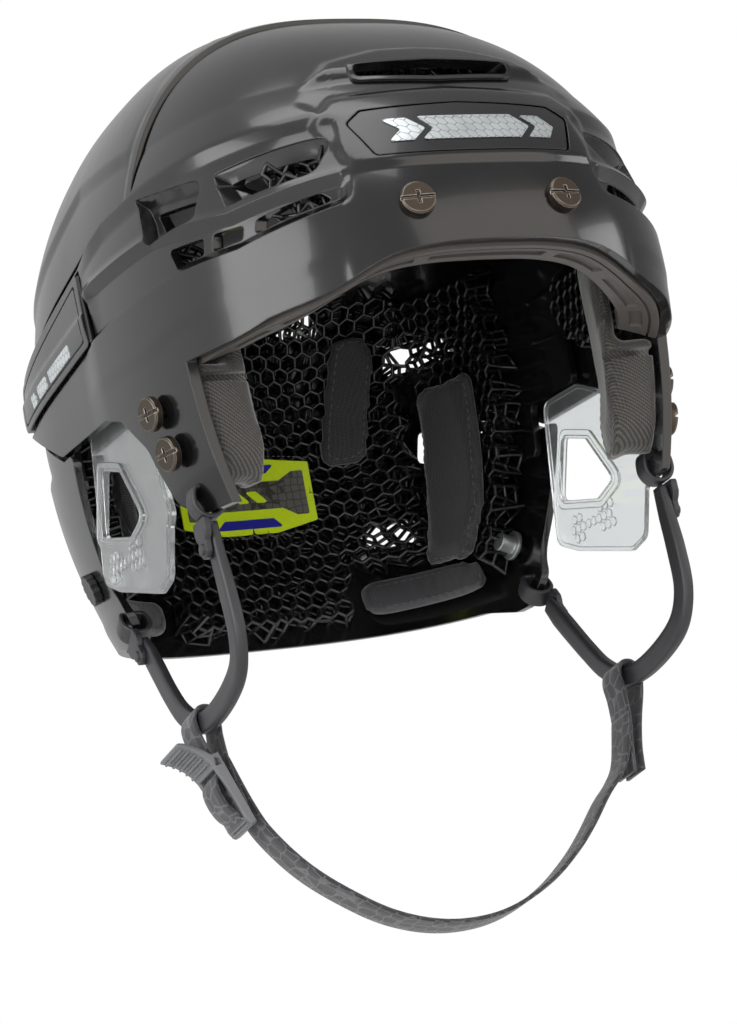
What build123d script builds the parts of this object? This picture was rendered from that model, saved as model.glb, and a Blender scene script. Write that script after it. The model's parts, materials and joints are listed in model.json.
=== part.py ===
from build123d import *
import functools
import math
import os

# Ice hockey helmet in millimetres, level as it is worn: the front faces -Y, +X is the wearer's left.
# The origin lies on the centre line at brow level, inside the head cavity.
# Names ending in left are on the wearer's left, which is the +X side.

os.makedirs("parts", exist_ok=True)

# Outer surface: superellipse rings that narrow towards the crown and down the skirt
half_width = 105.0
front_reach = 136.0
rear_reach = 146.0
crown_height = 136.0
crown_set_back = 15.0
skirt_depth = 95.0
side_power = 2.55
front_power = 1.96
rear_power = 1.95
front_plan_power = 2.63
rear_plan_power = 2.85
side_taper_share = 0.226
rear_taper_share = 0.117
ring_points = 20
crown_rings = 7
last_ring_share = 0.97
skirt_ring_shares = (1.0, 0.5, 0.0)

# Walls, gaps and travel
shell_wall = 3.2
slide_travel = 18.0
slide_gap = 0.9
split_gap = 1.6
seat_gap = 0.3
rail_rise = 1.6
cut_overrun = 60.0
joggle_width = 6.0
flange_reach = 22.0

# Front shell, side view outlines as shares of front reach (Y) and crown height (Z)
ridge_1_shares = [(-0.818, 0.468), (-0.615, 0.454), (-0.412, 0.433), (-0.17, 0.405), (0.02, 0.353)]
ridge_2_shares = [(-0.902, 0.288), (-0.705, 0.25), (-0.426, 0.28), (-0.056, 0.262)]
ridge_3_shares = [(-0.914, 0.198), (-0.732, 0.149), (-0.543, 0.148), (-0.171, 0.116), (-0.06, 0.109)]
split_share = -0.353
wing_top_shares = [(-0.17, 0.405), (0.02, 0.353), (0.68, 0.205)]
wing_bottom_shares = [(0.65, 0.04), (0.335, -0.103), (-0.06, -0.103)]
tab_shares = [(-0.167, -0.135), (-0.262, -0.235), (-0.31, -0.4), (-0.4, -0.448), (-0.52, -0.448)]
front_limit_share = -1.3
high_limit_share = 1.2
low_limit_share = -0.9
brow_edge_shares = [(0.0, 0.069), (0.3, 0.054), (0.57, -0.018), (0.73, -0.045), (0.86, -0.075), (1.3, -0.09)]
cheek_share = -0.53

# Front shell openings
rear_window_shares = [(-0.395, 0.398), (-0.595, 0.362), (-0.582, 0.296), (-0.435, 0.292)]
front_window_shares = [(-0.661, 0.371), (-0.815, 0.386), (-0.845, 0.322), (-0.713, 0.297)]
low_window_shares = [
    [(-0.505, 0.232), (-0.615, 0.226), (-0.615, 0.168), (-0.525, 0.165)],
    [(-0.645, 0.224), (-0.725, 0.222), (-0.725, 0.172), (-0.645, 0.17)],
    [(-0.755, 0.23), (-0.865, 0.262), (-0.885, 0.218), (-0.755, 0.178)],
]
window_inner_share = 0.35
hood_shares = [(0.42, 0.578), (0.34, 0.665), (0.15, 0.7), (0.0, 0.706)]
hood_foot_share = 0.556
hood_rise = 2.4
top_slot_shares = [(0.0, 0.575), (0.26, 0.575), (0.285, 0.59), (0.285, 0.615), (0.26, 0.63), (0.0, 0.63)]

# Front badge
frame_shares = [(0.0, 0.298), (0.42, 0.294), (0.475, 0.43), (0.4, 0.5), (0.0, 0.518)]
badge_shares = [(0.0, 0.33), (0.355, 0.317), (0.408, 0.425), (0.345, 0.463), (0.0, 0.477)]
inlay_shares = [(0.0, 0.372), (0.29, 0.366), (0.315, 0.41), (0.29, 0.434), (0.0, 0.442)]
badge_thick = 1.7
badge_sink = 1.1
badge_gap = 0.4
inlay_thick = 0.5

# Rear shell outlines
rear_edge_shares = [(0.262, -0.115), (0.34, -0.48), (0.3, -0.578), (0.354, -0.647), (0.42, -0.65)]
flange_front_share = 0.068
flange_vent_room = 4.0
rear_hem_share = -0.578
rear_limit_share = 1.6
rim_band = 9.0
rim_rise = 0.8
rear_vent_shares = [
    [(0.23, 0.37), (0.44, 0.355), (0.42, 0.44), (0.25, 0.46)],
    [(0.66, 0.21), (0.88, 0.21), (0.84, 0.3), (0.66, 0.3)],
    [(0.72, -0.09), (0.93, -0.09), (0.92, 0.015), (0.74, 0.015)],
    [(0.48, -0.33), (0.68, -0.33), (0.69, -0.25), (0.49, -0.25)],
]
crown_vent_shares = [
    [(0.17, -0.16), (0.27, -0.14), (0.29, 0.14), (0.17, 0.16)],
    [(0.17, 0.3), (0.29, 0.3), (0.27, 0.58), (0.17, 0.6)],
]
crown_vent_floor_share = 0.5

# Side latch plates
latch_shares = [(0.02, 0.331), (-0.062, 0.115), (0.632, 0.037), (0.662, 0.177)]
latch_thick = 3.0
latch_rise = 1.4
latch_gap = 1.0
hinge_pin_radius = 0.8
hinge_barrel_radius = 1.75
hinge_pin_extra = 3.0
hinge_play = 0.15
hinge_start_share = 0.12
lug_length = 14.0
lug_height = 7.0
lug_gap = 0.8

# Size racks
rack_length = 50.0
rack_height = 10.0
rack_thick = 1.8
rack_teeth = 9
rack_tooth_depth = 0.7
rack_play = 0.2

# Screws and nuts
screw_head_radius = 6.25
screw_head_height = 3.0
screw_seat_gap = 1.4
screw_shank_radius = 2.4
screw_shank_play = 0.3
drive_slot_width = 1.3
drive_slot_depth = 1.2
drive_cross_length = 5.0
nut_flange_radius = 6.0
nut_flange_thick = 1.4
nut_barrel_radius = 3.6
nut_barrel_length = 7.5
nut_pocket_play = 0.6
nut_seat_gap = 2.4
brow_screw_shares = (0.262, 0.18)
temple_screw_shares = [(-0.37, -0.167), (-0.396, -0.278)]
rear_screw_shares = (0.468, -0.455)
knob_ribs = 12
knob_rib_radius = 0.7

# Ear guards, flat plates in side view shares
guard_x = 95.2
guard_thick = 2.5
guard_shares = [
    (0.02, -0.064),
    (0.235, -0.064),
    (0.3, -0.48),
    (0.18, -0.525),
    (-0.13, -0.595),
    (-0.215, -0.575),
    (-0.268, -0.45),
    (-0.3, -0.42),
    (-0.292, -0.385),
    (-0.238, -0.235),
    (-0.145, -0.13),
]
guard_hole_shares = [(0.162, -0.19), (0.02, -0.228), (-0.096, -0.375), (0.01, -0.408), (0.243, -0.36)]
guard_rim_width = 3.0
guard_rim_rise = 1.5
guard_lip_shares = [(-0.05, -0.064), (0.2, -0.064), (0.2, -0.094), (-0.05, -0.094)]

# Liner
lattice_thick = 14.0
pad_thick = 5.0
pad_gap = 0.4
trim_thick = 15.0
trim_depth = 7.0
trim_drop = 1.5
forehead_lattice_shares = [(-0.62, 0.125), (0.62, 0.125), (0.62, 0.5), (-0.62, 0.5)]
forehead_pad_shares = [(-0.5, 0.125), (0.5, 0.125), (0.5, 0.3), (-0.5, 0.3)]
forehead_reach_share = -0.56
side_lattice_shares = [(-0.5, 0.3), (-0.5, -0.06), (-0.1, -0.02), (0.02, 0.06), (0.02, 0.24)]
temple_pad_shares = [
    (-0.3, 0.2),
    (-0.5, 0.2),
    (-0.515, 0.0),
    (-0.515, -0.3),
    (-0.47, -0.41),
    (-0.38, -0.41),
    (-0.31, -0.32),
    (-0.34, -0.18),
    (-0.32, 0.0),
]
temple_front_shares = [(-0.515, -0.07), (-0.515, -0.3), (-0.49, -0.33), (-0.455, -0.33), (-0.455, -0.07)]
temple_front_gap = 1.8
crown_lattice_shares = [(-0.57, -0.31), (0.57, -0.31), (0.57, 0.53), (-0.57, 0.53)]
crown_pad_shares = [(-0.13, -0.26), (0.13, -0.26), (0.13, 0.38), (-0.13, 0.38)]
crown_floor_share = 0.62
rear_side_lattice_shares = [
    (0.36, 0.42),
    (0.36, -0.1),
    (0.44, -0.52),
    (0.54, -0.5),
    (0.56, -0.4),
    (0.74, -0.4),
    (0.74, 0.42),
]
rear_side_pad_shares = [(0.42, 0.12), (0.42, -0.3), (0.48, -0.48), (0.68, -0.46), (0.68, 0.12)]
rear_lattice_shares = [(0.0, -0.56), (0.38, -0.56), (0.38, -0.4), (0.67, -0.4), (0.67, 0.47), (0.0, 0.47)]
rear_lattice_reach_share = 0.77
rib_shares = [(0.3, -0.08), (0.52, -0.08), (0.6, 0.34), (0.4, 0.34)]
occipital_shares = [(0.42, -0.56), (0.8, -0.56), (0.76, -0.42), (0.4, -0.42)]
occipital_reach_share = 0.56
occipital_thick = 9.0
patch_shares = [(0.0, -0.25), (0.115, -0.25), (0.28, -0.22), (0.28, -0.035), (0.115, -0.015), (0.0, -0.015)]
patch_thick = 0.8

# Strap forks: flat moulded bands in a side plane, each end looped through a slot of a shell
fork_x = 85.0
fork_thick = 4.0
fork_width = 8.0
fork_bend_radius = 10.0
fork_front_shares = [(-0.43, -0.6), (-0.462, -0.772), (-0.39, -0.868)]
fork_bottom_shares = (-0.06, -0.93)
fork_flat_share = 0.105
fork_rear_shares = [(0.176, -0.787)]
loop_thick = 1.8
loop_play = 0.7
loop_width = 12.8
front_loop_x = 90.2
rear_loop_x = 84.8
front_slot_shares = (-0.408, -0.385)
rear_slot_shares = (0.366, -0.575)
slot_width = 3.4
slot_bar = 7.2
tab_length = 9.0
tab_width = 7.0
tab_thick = 2.4
tab_corner = 1.75
tab_set_back = 6.0
button_radius = 2.6
button_height = 1.2

# Chin strap, in a plane through the fork bottoms that leans forward
strap_lean = 10.0
loop_slant = 18.0
webbing_width = 15.0
webbing_thick = 1.6
strap_depth = 87.0
left_strap_shares = [(0.74, 0.52), (0.635, 0.65), (0.52, 0.77), (0.37, 0.885), (0.18, 0.97)]
right_strap_shares = [(0.81, 0.52), (0.69, 0.67), (0.54, 0.8), (0.37, 0.91), (0.18, 0.98)]
strap_start = 20.0
strap_leave = 37.0
webbing_loop_length = 34.0
webbing_loop_half = 3.8
webbing_loop_top = 5.0
webbing_pinch_start = 7.0
webbing_pinch_end = 15.0
loop_stack_share = 1.5

# Buckle: a ladder lock on the outer face of the wearer's right loop
buckle_width = 20.0
buckle_length = 27.0
buckle_thick = 3.2
buckle_bar = 4.0
buckle_side = 2.2
buckle_start = 16.0
thumb_length = 16.0
thumb_thick = 3.0
thumb_lift = 35.0
thumb_ribs = 5
thumb_rib_rise = 0.8
hump_thick = 1.6
hump_rise = 3.0


def fall(height, top, power):
    part = min(max(height / top, 0), 1)
    return max(1 - part**power, 0) ** (1 / power)


def ring_radii(height, inset):
    top = crown_height - inset
    drop = (max(-height, 0) / skirt_depth) ** 2
    side = (half_width - inset) * fall(height, top, side_power) * (1 - side_taper_share * drop)
    front = (front_reach + crown_set_back - inset) * fall(height, top, front_power)
    rear = (rear_reach - crown_set_back - inset) * fall(height, top, rear_power)
    return side, front, rear * (1 - rear_taper_share * drop)


def arc_points(side, reach, power, middle):
    """A quarter of a superellipse, from the side to the far end; reach is negative towards the front."""
    points = []
    for k in range(ring_points // 4 + 1):
        turn = math.radians(360 * k / ring_points)
        across = math.cos(turn)
        along = math.sin(turn)
        distance = ((across / side) ** power + (along / abs(reach)) ** power) ** (-1 / power)
        points.append((distance * across, middle + math.copysign(distance * along, reach)))
    return points


def side_x(y, height, inset=0, stretch=0):
    """The half width of the surface at a place along the helmet."""
    side, front, rear = ring_radii(height, inset)
    back = max(y - crown_set_back - stretch, 0)
    ahead = max(crown_set_back - y, 0)
    if ahead > 0:
        return side * max(1 - (ahead / front) ** front_plan_power, 0) ** (1 / front_plan_power)
    return side * max(1 - (back / rear) ** rear_plan_power, 0) ** (1 / rear_plan_power)


def front_y(x, height, inset=0):
    """How far forward the surface reaches at a place across the helmet."""
    side, front, rear = ring_radii(height, inset)
    part = max(1 - (abs(x) / side) ** front_plan_power, 0) ** (1 / front_plan_power)
    return crown_set_back - front * part


def ring(height, inset, stretch):
    side, front, rear = ring_radii(height, inset)
    ahead = arc_points(side, -front, front_plan_power, crown_set_back)
    behind = arc_points(side, rear, rear_plan_power, crown_set_back + stretch)
    half = ahead[::-1] + (behind if stretch else behind[1:])
    other = [(-x, y) for x, y in reversed(half[1:-1])]
    return make_face(Spline(*[(x, y, height) for x, y in half + other], periodic=True))


@functools.lru_cache(maxsize=None)
def dome(inset, stretch=0):
    """The solid inside the surface, drawn in by inset; stretch sets the rear half further back."""
    top = crown_height - inset
    turns = [k / crown_rings for k in range(1, crown_rings)] + [last_ring_share]
    heights = [-skirt_depth * share for share in skirt_ring_shares]
    heights += [top * math.sin(math.radians(90 * turn)) for turn in turns]
    return loft([ring(height, inset, stretch) for height in heights])


@functools.lru_cache(maxsize=None)
def layer(outer, inner, stretch=0):
    return dome(outer, stretch) - dome(inner, stretch)


def side_points(shares):
    return [(y * front_reach, z * crown_height) for y, z in shares]


def front_points(shares):
    return [(x * half_width, z * crown_height) for x, z in shares]


def mirrored_front_points(shares):
    """A closed outline from its +X half, which starts and may end on the centre line."""
    half = front_points(shares)
    other = [(-x, z) for x, z in reversed(half) if x > 0]
    return half + other


def outline(points, plane, grow=0):
    face = make_face(Polyline(*points, close=True))
    if grow:
        face = offset(face, amount=grow, kind=Kind.INTERSECTION)
    return plane * face


def side_prism(points, start=None, grow=0):
    """A prism along X: through the whole helmet, or on the +X side only from a starting X."""
    far = half_width + cut_overrun
    if start is None:
        return extrude(outline(points, Plane.YZ.offset(-far), grow), amount=2 * far)
    return extrude(outline(points, Plane.YZ.offset(start), grow), amount=far - start)


def front_prism(points, start, grow=0):
    """A prism that runs forward from a place on Y."""
    far = front_reach + cut_overrun
    return extrude(outline(points, Plane.XZ.offset(-start), grow), amount=far + start)


def rear_prism(points, start, grow=0):
    """A prism that runs backward from a place on Y."""
    far = rear_reach + cut_overrun
    return extrude(outline(points, Plane.XZ.offset(-start), grow), amount=start - far)


def down_prism(points, floor):
    return extrude(outline(points, Plane.XY.offset(floor)), amount=crown_height + cut_overrun - floor)


def both_sides(piece):
    return piece + mirror(piece, about=Plane.YZ)


def rod(start, end, radius):
    direction = Vector(*end) - Vector(*start)
    return extrude(Plane(origin=start, z_dir=direction) * Circle(radius), amount=direction.length)


def save(piece, name):
    solids = piece.solids()
    shape = solids[0] if len(solids) == 1 else Compound(children=list(solids))
    export_step(shape, "parts/" + name + ".step")
    print(name, len(solids))


def save_pair(piece, name):
    """Writes the +X piece as the left one and its mirror image as the right one."""
    save(piece, name + "_left")
    save(mirror(piece, about=Plane.YZ), name + "_right")


def brow_frame():
    x = brow_screw_shares[0] * half_width
    z = brow_screw_shares[1] * crown_height
    y = front_y(x, z)
    step = screw_head_radius
    across = Vector(x + step, front_y(x + step, z), z) - Vector(x - step, front_y(x - step, z), z)
    upward = Vector(x, front_y(x, z + step), z + step) - Vector(x, front_y(x, z - step), z - step)
    return Plane(origin=(x, y, z), x_dir=across, z_dir=across.cross(upward))


def side_frame(shares):
    """The plane that touches the +X side of the shell at side view shares."""
    y = shares[0] * front_reach
    z = shares[1] * crown_height
    step = screw_head_radius
    along = Vector(side_x(y + step, z), y + step, z) - Vector(side_x(y - step, z), y - step, z)
    upward = Vector(side_x(y, z + step), y, z + step) - Vector(side_x(y, z - step), y, z - step)
    return Plane(origin=(side_x(y, z), y, z), x_dir=along, z_dir=along.cross(upward))


def screw_frames():
    return [brow_frame()] + [side_frame(shares) for shares in temple_screw_shares]


def front_outline():
    shares = [(front_limit_share, high_limit_share), (split_share, high_limit_share), ridge_1_shares[2]]
    shares += wing_top_shares + wing_bottom_shares + tab_shares
    shares += [(front_limit_share, tab_shares[-1][1])]
    points = side_points(shares)
    points[2] = (split_share * front_reach, points[2][1])
    return points


def rail_outline():
    return side_points(ridge_1_shares + ridge_2_shares[::-1])


def band_outline():
    shares = ridge_3_shares + [(wing_bottom_shares[-1][0], wing_bottom_shares[-1][1])] + tab_shares
    shares += [(ridge_3_shares[0][0], tab_shares[-1][1])]
    return side_points(shares)


def brow_cut():
    half = front_points(brow_edge_shares)
    floor = low_limit_share * crown_height
    points = [(-x, z) for x, z in reversed(half[1:])] + half
    points += [(half[-1][0], floor), (-half[-1][0], floor)]
    return front_prism(points, cheek_share * front_reach)


def largest(shape):
    """The main solid of a joined shape, without the empty slivers that joining can leave."""
    return shape.solids().sort_by(SortBy.VOLUME)[-1]


def make_front_shell():
    brow = brow_cut()
    shell = (layer(0, shell_wall, slide_travel) & side_prism(front_outline())) - brow
    hood_points = mirrored_front_points([(0, hood_foot_share), (hood_shares[0][0], hood_foot_share)] + hood_shares)
    shell += layer(-hood_rise, shell_wall / 4, slide_travel) & front_prism(hood_points, 0)
    shell -= front_prism(mirrored_front_points(top_slot_shares), 0)
    raised = layer(-rail_rise, shell_wall / 2, slide_travel)
    shell += raised & side_prism(rail_outline())
    shell += (raised & side_prism(band_outline())) - brow
    shell += raised & front_prism(mirrored_front_points(frame_shares), 0)
    window_start = window_inner_share * half_width
    for window in [rear_window_shares, front_window_shares] + low_window_shares:
        prism = side_prism(side_points(window), window_start)
        shell = largest(largest(shell - prism) - mirror(prism, about=Plane.YZ))
    pocket = layer(-rail_rise - cut_overrun / 2, badge_sink, slide_travel)
    shell = largest(shell - (pocket & front_prism(mirrored_front_points(badge_shares), 0, badge_gap)))
    for frame in screw_frames():
        hole = frame * Cylinder(screw_shank_radius + screw_shank_play, cut_overrun / 2)
        shell = largest(shell - both_sides(hole))
    shell = largest(shell - both_sides(latch_recess()))
    return largest(shell - both_sides(strap_slot(front_slot_shares, front_arm_way())))


def front_arm_way():
    """The unit direction in which the front arm leaves its slot, in the side view."""
    return unit_way(side_points([front_slot_shares])[0], side_points(fork_front_shares)[0])


def rear_arm_way():
    return unit_way(side_points([rear_slot_shares])[0], side_points(fork_rear_shares)[0])


def unit_way(start, end):
    long = math.hypot(end[0] - start[0], end[1] - start[1])
    return (end[0] - start[0]) / long, (end[1] - start[1]) / long


def strap_slot(shares, way):
    """A slot through a shell, square to the way the arm leaves it."""
    y, z = side_points([shares])[0]
    turn = math.degrees(math.atan2(way[1], way[0]))
    start = window_inner_share * half_width
    slot = Plane.YZ.offset(start) * Pos(y, z) * Rot(0, 0, turn) * Rectangle(slot_width, fork_width + 2 * loop_play)
    return extrude(slot, amount=cut_overrun + half_width - start)


def latch_edge():
    """The hinge line of the +X latch plate, top end and bottom end, on the shell surface."""
    (top_y, top_z), (low_y, low_z) = side_points(latch_shares)[:2]
    radius = hinge_barrel_radius
    ends = []
    for share in (hinge_start_share, 1 - hinge_start_share):
        y = top_y + (low_y - top_y) * share + radius
        z = top_z + (low_z - top_z) * share
        ends.append(Vector(side_x(y, z, latch_thick / 2 - latch_rise, slide_travel), y, z))
    return ends


def latch_recess():
    points = side_points(latch_shares)
    floor = latch_thick - latch_rise + seat_gap
    start = window_inner_share * half_width
    open_air = layer(-cut_overrun / 2, floor, slide_travel)
    recess = open_air & side_prism(points, start, latch_gap)
    top, low = latch_edge()
    barrel_room = rod(top + (top - low) * hinge_start_share, low + (low - top) * hinge_start_share,
                      hinge_barrel_radius + seat_gap)
    step = (top - low).normalized() * hinge_pin_extra
    pin_hole = rod(top + step, low - step, hinge_pin_radius)
    lug_room = side_prism(lug_points(lug_gap), start)
    return recess + barrel_room + pin_hole + lug_room


def lug_points(room=0):
    y = sum(y for y, z in side_points(latch_shares)) / 4
    z = sum(z for y, z in side_points(latch_shares)) / 4
    long = lug_length / 2 + room
    high = lug_height / 2 + room
    return [(y - long, z - high), (y + long, z - high), (y + long, z + high), (y - long, z + high)]


def make_latch():
    points = side_points(latch_shares)
    radius = hinge_barrel_radius
    points[0] = (points[0][0] + radius, points[0][1])
    points[1] = (points[1][0] + radius, points[1][1])
    start = window_inner_share * half_width
    plate = layer(-latch_rise, latch_thick - latch_rise, slide_travel) & side_prism(points, start)
    top, low = latch_edge()
    plate += rod(top, low, radius)
    lug = layer(0, shell_wall + slide_gap - seat_gap, slide_travel) & side_prism(lug_points(), start)
    plate += lug
    step = (top - low).normalized() * hinge_pin_extra
    return plate - rod(top + step, low - step, hinge_pin_radius + hinge_play)


def make_latch_pin():
    top, low = latch_edge()
    step = (top - low).normalized() * hinge_pin_extra
    return rod(top + step, low - step, hinge_pin_radius)


def rack_points(room=0):
    points = lug_points()
    y = (points[0][0] + points[1][0]) / 2
    z = (points[0][1] + points[2][1]) / 2
    long = rack_length / 2 + room
    high = rack_height / 2 + room
    return [(y - long, z - high), (y + long, z - high), (y + long, z + high), (y - long, z + high)]


def make_rack():
    start = window_inner_share * half_width
    face = shell_wall + slide_gap
    rack = layer(face, face + rack_thick) & side_prism(rack_points(), start)
    (near, low), (far, _), (_, high), _ = rack_points()
    teeth_area = layer(face - rack_thick, face + rack_tooth_depth)
    pitch = (far - near) / rack_teeth
    grooves = Part()
    for k in range(rack_teeth):
        middle = near + pitch * (k + 0.5)
        groove = [(middle - pitch / 4, low - pitch), (middle + pitch / 4, low - pitch)]
        groove += [(middle + pitch / 4, high + pitch), (middle - pitch / 4, high + pitch)]
        grooves += side_prism(groove, start)
    return rack - (teeth_area & grooves)


def wing_boundary():
    """The front shell's rear edge with its wing, from the crown to the ear."""
    points = [(split_share * front_reach, high_limit_share * crown_height)]
    points += [(split_share * front_reach, ridge_1_shares[2][1] * crown_height)]
    return points + side_points(wing_top_shares + wing_bottom_shares)


def rear_outer_face():
    """Where the rear shell shows: behind the split and round the wing."""
    limit = rear_limit_share * front_reach
    hem = rear_hem_share * crown_height
    edge = side_points(rear_edge_shares)
    points = wing_boundary()[:-1] + edge
    points += [(limit, hem), (limit, high_limit_share * crown_height)]
    whole = make_face(Polyline(*points, close=True))
    front = make_face(Polyline(*front_outline(), close=True))
    return whole - offset(front, amount=split_gap, kind=Kind.INTERSECTION)


def flange_face():
    """The band that runs under the front shell and its wing, and joins the shown parts."""
    front = make_face(Polyline(*front_outline(), close=True))
    wide = offset(front, amount=split_gap + joggle_width, kind=Kind.INTERSECTION)
    top = high_limit_share * crown_height
    low = wing_bottom_shares[-1][1] * crown_height
    ahead = split_share * front_reach - flange_reach
    vent_back, vent_high = side_points(rear_window_shares)[0]
    keep_crown = [(ahead, top), (ahead, vent_high + flange_vent_room)]
    keep_crown += [(vent_back + flange_vent_room, vent_high + flange_vent_room)]
    keep_crown += [(vent_back + flange_vent_room, ridge_2_shares[2][1] * crown_height + joggle_width)]
    keep_crown += [(flange_front_share * front_reach, ridge_2_shares[-1][1] * crown_height)]
    keep_crown += [(flange_front_share * front_reach, low / 2)]
    keep_crown += [(rear_edge_shares[1][0] * front_reach, low / 2)]
    keep_crown += [(rear_edge_shares[1][0] * front_reach, low - split_gap - joggle_width * 2)]
    limit = rear_limit_share * front_reach
    keep_crown += [(limit, low - split_gap - joggle_width * 2), (limit, top)]
    return wide & make_face(Polyline(*keep_crown, close=True))


def face_prism(face, start=None):
    far = half_width + cut_overrun
    if start is None:
        return extrude(Plane.YZ.offset(-far) * face, amount=2 * far)
    return extrude(Plane.YZ.offset(start) * face, amount=far - start)


def make_rear_shell():
    under = shell_wall + slide_gap
    shown = rear_outer_face()
    band = flange_face()
    shell = layer(0, shell_wall) & face_prism(shown)
    shell += layer(under, under + shell_wall) & face_prism(band)
    shell += layer(shell_wall / 2, under + shell_wall / 2) & face_prism(shown & band)
    rim_back = split_share * front_reach + split_gap + rim_band
    rim = [(split_share * front_reach, ridge_1_shares[2][1] * crown_height)]
    rim += [(rim_back, ridge_1_shares[2][1] * crown_height)]
    rim += [(rim_back, high_limit_share * crown_height), (rim[0][0], high_limit_share * crown_height)]
    rim_face = shown & make_face(Polyline(*rim, close=True))
    shell += layer(-rim_rise, shell_wall / 2) & face_prism(rim_face)
    for vent in rear_vent_shares:
        shell -= both_sides(rear_prism(front_points(vent), crown_set_back))
    for vent in crown_vent_shares:
        points = [(x * half_width, y * front_reach) for x, y in vent]
        shell -= both_sides(down_prism(points, crown_vent_floor_share * crown_height))
    rack_floor = under + rack_thick + rack_play
    rack_room = layer(under - seat_gap, rack_floor) & side_prism(
        rack_points(rack_play), window_inner_share * half_width)
    shell -= both_sides(rack_room)
    hole = side_frame(rear_screw_shares) * Cylinder(screw_shank_radius + screw_shank_play, cut_overrun / 2)
    shell -= both_sides(hole)
    shell -= both_sides(strap_slot(rear_slot_shares, rear_arm_way()))
    return shell


def make_badge():
    points = mirrored_front_points(badge_shares)
    return layer(badge_sink - badge_thick, badge_sink, slide_travel) & front_prism(points, 0)


def make_inlay():
    points = mirrored_front_points(inlay_shares)
    face = badge_sink - badge_thick
    return layer(face - inlay_thick, face, slide_travel) & front_prism(points, 0)


def make_screw(frame):
    """A round head with a cross and one long slot, and its shank."""
    rise = rail_rise if frame.origin.X > half_width / 2 else 0
    raised = frame.offset(rise + screw_seat_gap)
    head = extrude(raised * Circle(screw_head_radius), amount=screw_head_height)
    rim = head.edges().group_by(Axis(raised.origin, raised.z_dir))[-1]
    head = chamfer(rim, drive_slot_depth / 2)
    shank = extrude(raised * Circle(screw_shank_radius), amount=-(shell_wall + nut_barrel_length / 2))
    top = raised.offset(screw_head_height - drive_slot_depth)
    slot = top * Rectangle(2 * screw_head_radius, drive_slot_width)
    cross = top * Rectangle(drive_slot_width, drive_cross_length)
    return head + shank - extrude(slot, amount=screw_head_height) - extrude(cross, amount=screw_head_height)


def make_nut(frame):
    """A T-nut behind the wall: a flange and a barrel that takes the shank."""
    back = frame.offset(-shell_wall - nut_seat_gap - nut_flange_thick)
    flange = extrude(back * Circle(nut_flange_radius), amount=nut_flange_thick)
    barrel = extrude(back * Circle(nut_barrel_radius), amount=-(nut_barrel_length - nut_flange_thick))
    bore = extrude(frame * Circle(screw_shank_radius), amount=-(shell_wall + nut_barrel_length), both=True)
    return flange + barrel - bore


def nut_room(frame):
    deep = shell_wall + nut_seat_gap + nut_barrel_length + nut_pocket_play
    room = extrude(frame * Circle(nut_flange_radius + nut_pocket_play), amount=-deep)
    return room


def make_rear_screw():
    """A round knob with ribs round its side."""
    frame = side_frame(rear_screw_shares).offset(seat_gap)
    knob = extrude(frame * Circle(screw_head_radius), amount=screw_head_height)
    for k in range(knob_ribs):
        turn = math.radians(360 * k / knob_ribs)
        place = Pos(screw_head_radius * math.cos(turn), screw_head_radius * math.sin(turn))
        knob -= extrude(frame * place * Circle(knob_rib_radius), amount=screw_head_height)
    shank = extrude(frame * Circle(screw_shank_radius), amount=-(shell_wall + nut_barrel_length / 2))
    return knob + shank


def make_guard():
    plate = extrude(outline(side_points(guard_shares), Plane.YZ.offset(guard_x)), amount=guard_thick)
    hole = side_points(guard_hole_shares)
    rim = extrude(outline(hole, Plane.YZ.offset(guard_x), guard_rim_width), amount=guard_thick + guard_rim_rise)
    lip_points = side_points(guard_lip_shares)
    lip_x = side_x(lip_points[0][0], lip_points[0][1], shell_wall + seat_gap)
    lip = extrude(outline(lip_points, Plane.YZ.offset(guard_x)), amount=lip_x - guard_x)
    cut = extrude(outline(hole, Plane.YZ.offset(guard_x - guard_thick)), amount=3 * guard_thick + guard_rim_rise)
    return plate + rim + lip - cut


def pad(outer, thick, prism, rooms=()):
    body = layer(outer, outer + thick) & prism
    for room in rooms:
        body -= room
    return body


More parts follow.
